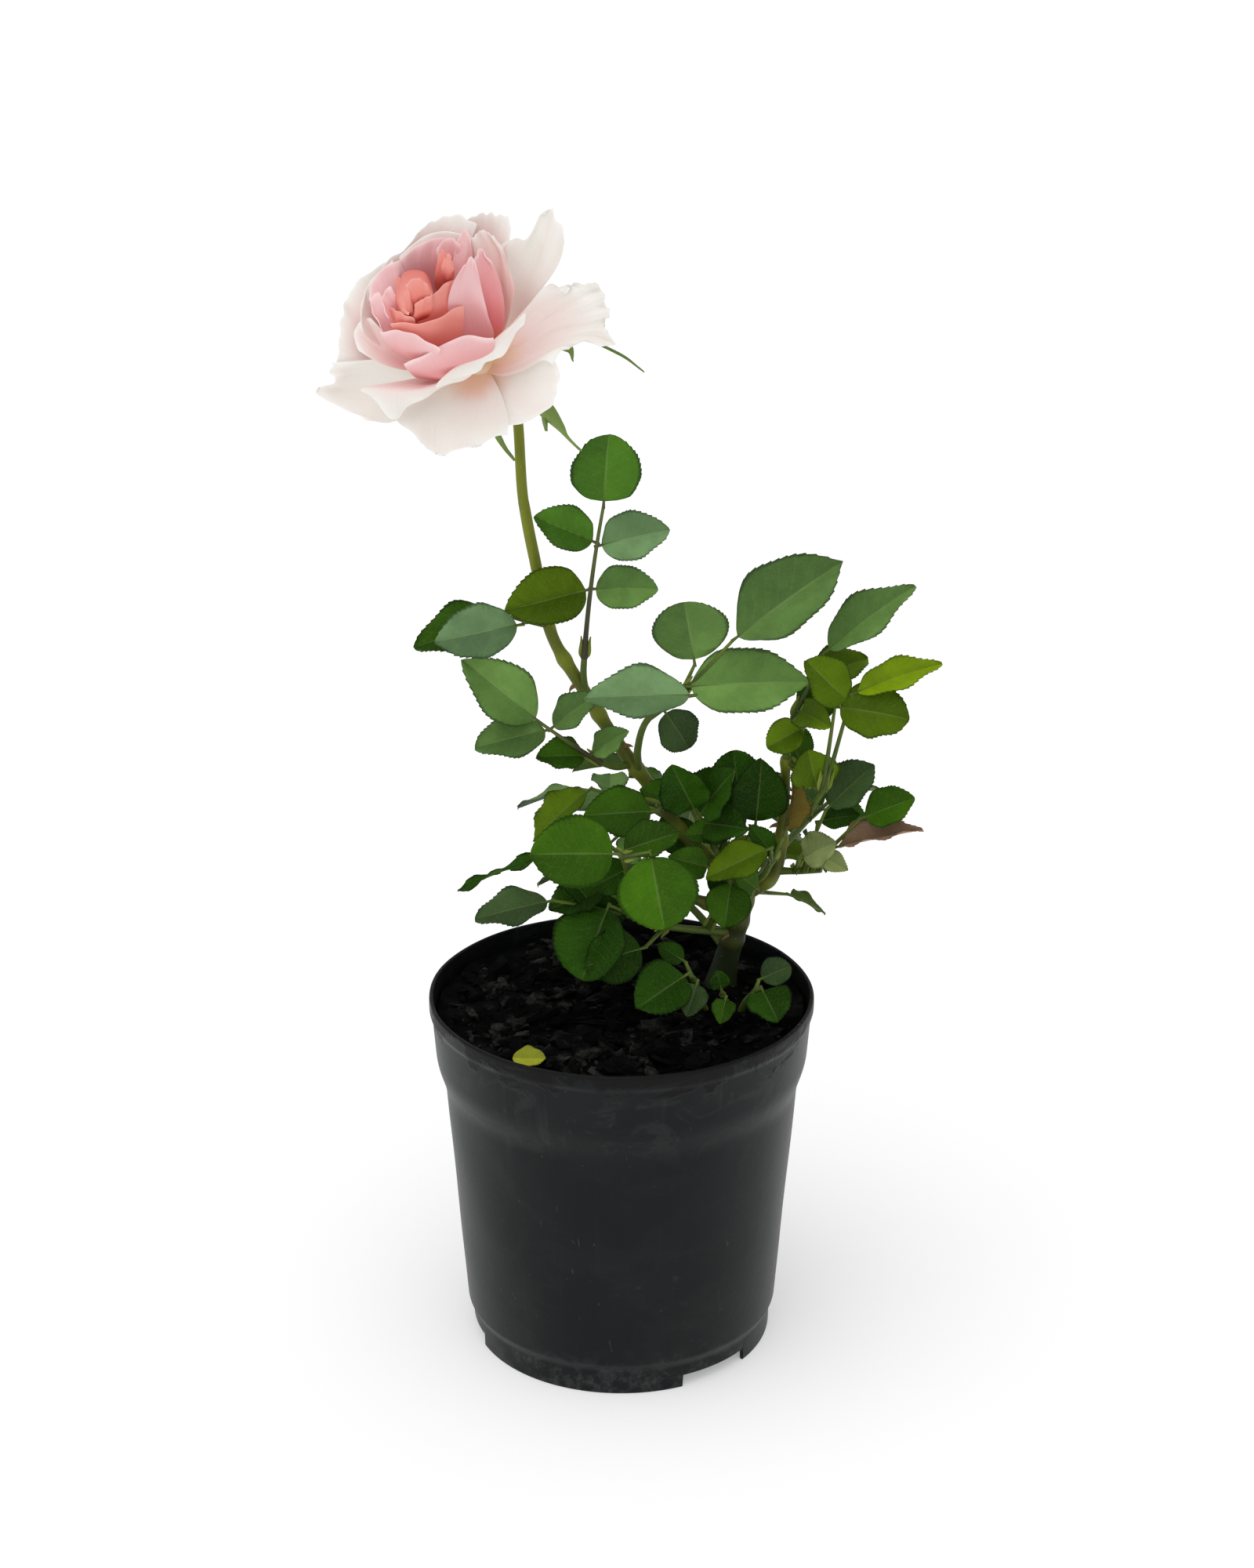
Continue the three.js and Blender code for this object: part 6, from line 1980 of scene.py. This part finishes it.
@dataclass
class Bloom:
    """The open flower: cream guard petals round a pink cup and a coral heart, on a hip with five sepals."""

    rows: int = 52
    columns: int = 41
    thick: float = 0.42
    sepal_rows: int = 44
    sepal_columns: int = 9
    sepal_thick: float = 0.5
    hip: tuple[tuple[float, float], ...] = (
        (0.0, -11.3), (1.75, -11.2), (1.95, -10.4), (3.0, -8.6), (4.1, -6.6), (4.25, -5.2), (3.9, -3.4),
        (3.4, -1.6), (3.6, -0.4), (3.4, 0.4), (0.0, 0.8),
    )

    def turned(self, profile: Array, columns: int, slot: int) -> Grid:
        """A profile turned about the bloom's axis: centre + r (cos a zero + sin a side) + h axis.

        Args:
            profile: (radius, height) points.
            columns: points round the axis.
            slot: the finish.

        Returns:
            The surface.
        """
        a = np.linspace(0, 2 * np.pi, columns)
        ring = np.cos(a)[:, None] * BLOOM_ZERO + np.sin(a)[:, None] * BLOOM_SIDE
        high = (profile[:, 1][:, None] * BLOOM_AXIS)[:, None]
        points = BLOOM_AT + profile[:, 0][:, None, None] * ring[None] + high
        points[:, -1] = points[:, 0]
        uv = gridded(a[None, :] / ROUND, profile[:, 1][:, None])
        return Grid(points[None], uv[None], slot, False, np.array([0.5]))

    def petals(self, name: str, petals: tuple[Petal, ...], finishes: list[bpy.types.Material], node: str,
               core: tuple[tuple[float, float], ...]) -> bpy.types.Object:
        """Joins a ring of petals into one piece, with the core that holds their claws.

        Args:
            name: the piece's name.
            petals: its petals.
            finishes: for the inner and outer sides, pink and then cream.
            node: the solid that it replaces.
            core: the core's (radius, height) points.

        Returns:
            The piece.
        """
        grids = [grid for petal in petals for grid in petal.grids(self.rows, self.columns, self.thick)]
        held = self.turned(np.array(core), 25, 1)
        held.uv = held.uv * [1, 0] + [0, 0.05]
        grids.append(held)
        return dress(make_piece(name, grids, finishes, 75.0), node, node)

    def calyx(self) -> bpy.types.Object:
        """The hip and its sepals.

        Returns:
            The piece.
        """
        profile = Course(np.array([(r, h, 0.0) for r, h in self.hip])).along(np.linspace(0, 1, 60))[:, :2]
        profile[0, 0] = profile[-1, 0] = 0
        profile[:, 0] = np.maximum(profile[:, 0], 0)
        grids = [self.turned(profile, 33, 0)]
        across = np.linspace(0, 1, self.sepal_columns)[None, :]
        uv = gridded(across, np.linspace(0, 1, self.sepal_rows)[:, None] * 9)[None]
        for sepal in SEPALS:
            middle = sepal.middle(self.sepal_rows, self.sepal_columns)[None]
            normal = surface_normals(middle)
            grids += shell(middle, normal, self.sepal_thick, uv, (0, 0), np.array([sepal.tone]))
        green = StalkFinish("calyx_green", "8aa255", "566f2e", "93a366", 0.00012).material()
        return dress(make_piece("hip_and_sepals", grids, [green], 60.0), "calyx", "calyx")

    def build(self) -> list[bpy.types.Object]:
        """Makes the calyx and the three rings of petals.

        Returns:
            The pieces.
        """
        # Each finish: claw, deep, pale, rim, claw_to, and the strength of the petal's painted glow.
        cream = (
            ("e8c4aa", "e9b9b6", "eeebe5", "f4f2ee", 0.34, 0.08),
            ("e6cfae", "ebc8c1", "edeae4", "f4f2ee", 0.34, 0.08),
        )
        pink = (
            ("cf6a44", "d97a7e", "e8bdbf", "f4dad8", 0.34, 0.12),
            ("d2824f", "dc8082", "e8bebf", "f4dad8", 0.34, 0.12),
        )
        # The heart's deep red claws are partly its own colour and partly painted shade in the throat between
        # its petals.
        coral = (
            ("7c120e", "cf5a4f", "e39086", "eca89e", 0.48, 0.15),
            ("a0281c", "d4665b", "e49287", "edaba0", 0.48, 0.14),
        )

        def both(name: str, colours: tuple[tuple[Any, ...], ...]) -> list[bpy.types.Material]:
            """The finishes of a petal's inner and outer side."""
            named = zip(("inside", "outside"), colours)
            return [PetalFinish(f"{name}_{side}", *looks).material() for side, looks in named]

        return [
            self.calyx(),
            self.petals("guard_petal_ring", GUARDS + RIMS, both("guard", cream), "guard_petals",
                        ((0, 0.8), (4, 0.9), (5.5, 3), (5.2, 7), (3, 9), (0, 9.4))),
            self.petals("cup_petal_ring", CUPS, both("cup", pink) + both("cup_cream", cream), "cup_petals",
                        ((0, 9), (3.5, 9.2), (5.5, 12), (5, 17), (0, 17.4))),
            self.petals("heart_petal_ring", HEARTS, both("heart", coral), "heart_petals",
                        ((0, 16), (4, 16.5), (4.6, 22), (3, 30), (0, 31))),
        ]


# ------------------------------------------------------------------ the studio
@dataclass
class Studio:
    """A pale floor, a white room, one broad soft lamp from above and the left, and the camera."""

    camera_at: Point = (0.002, -0.9485, 0.575)
    pitch: float = 21.5
    lens: float = 70.92
    room: float = 0.60
    sun: float = 1.05
    sun_width: float = 80.0
    sun_turn: Point = (24.0, -14.0, 0.0)
    floor_reach: float = 40.0

    def build(self) -> None:
        """Sets the floor, the room, the lamp and the camera."""
        scene = bpy.context.scene
        scene.view_settings.view_transform = "Standard"
        far = self.floor_reach
        mesh = bpy.data.meshes.new("floor")
        mesh.from_pydata([(-far, -far, 0), (far, -far, 0), (far, far, 0), (-far, far, 0)], [], [(0, 1, 2, 3)])
        floor = bpy.data.objects.new("floor", mesh)
        scene.collection.objects.link(floor)
        tree = Tree("studio_floor")
        white = (1.0, 1.0, 1.0, 1.0)
        mesh.materials.append(tree.finish(
            Base_Color=(0.86, 0.86, 0.86, 1.0),
            Roughness=0.9,
            Specular_IOR_Level=0.0,
            Emission_Color=white,
            Emission_Strength=0.3,
        ))
        world = bpy.data.worlds.new("room")
        scene.world = world
        world.use_nodes = True
        world.node_tree.nodes["Background"].inputs["Color"].default_value = white
        world.node_tree.nodes["Background"].inputs["Strength"].default_value = self.room
        lamp = bpy.data.lights.new("sky_panel", "SUN")
        lamp.energy = self.sun
        lamp.angle = np.radians(self.sun_width)
        light = bpy.data.objects.new("sky_panel", lamp)
        light.rotation_euler = np.radians(self.sun_turn)
        scene.collection.objects.link(light)
        camera = bpy.data.cameras.new("camera")
        camera.lens = self.lens
        camera.sensor_width = 36.0
        view = bpy.data.objects.new("camera", camera)
        view.location = self.camera_at
        view.rotation_euler = (np.radians(90 - self.pitch), 0, 0)
        scene.collection.objects.link(view)
        scene.camera = view


def main() -> None:
    """Builds the studio, then the plant from the pot up."""
    logging.basicConfig(level=logging.INFO, format="%(message)s")
    Studio().build()
    NurseryPot().build()
    PottingSoil().build()
    Stems().build()
    Foliage().build()
    FallenLeaf().build()
    Bloom().build()


if __name__ == "__main__":
    main()
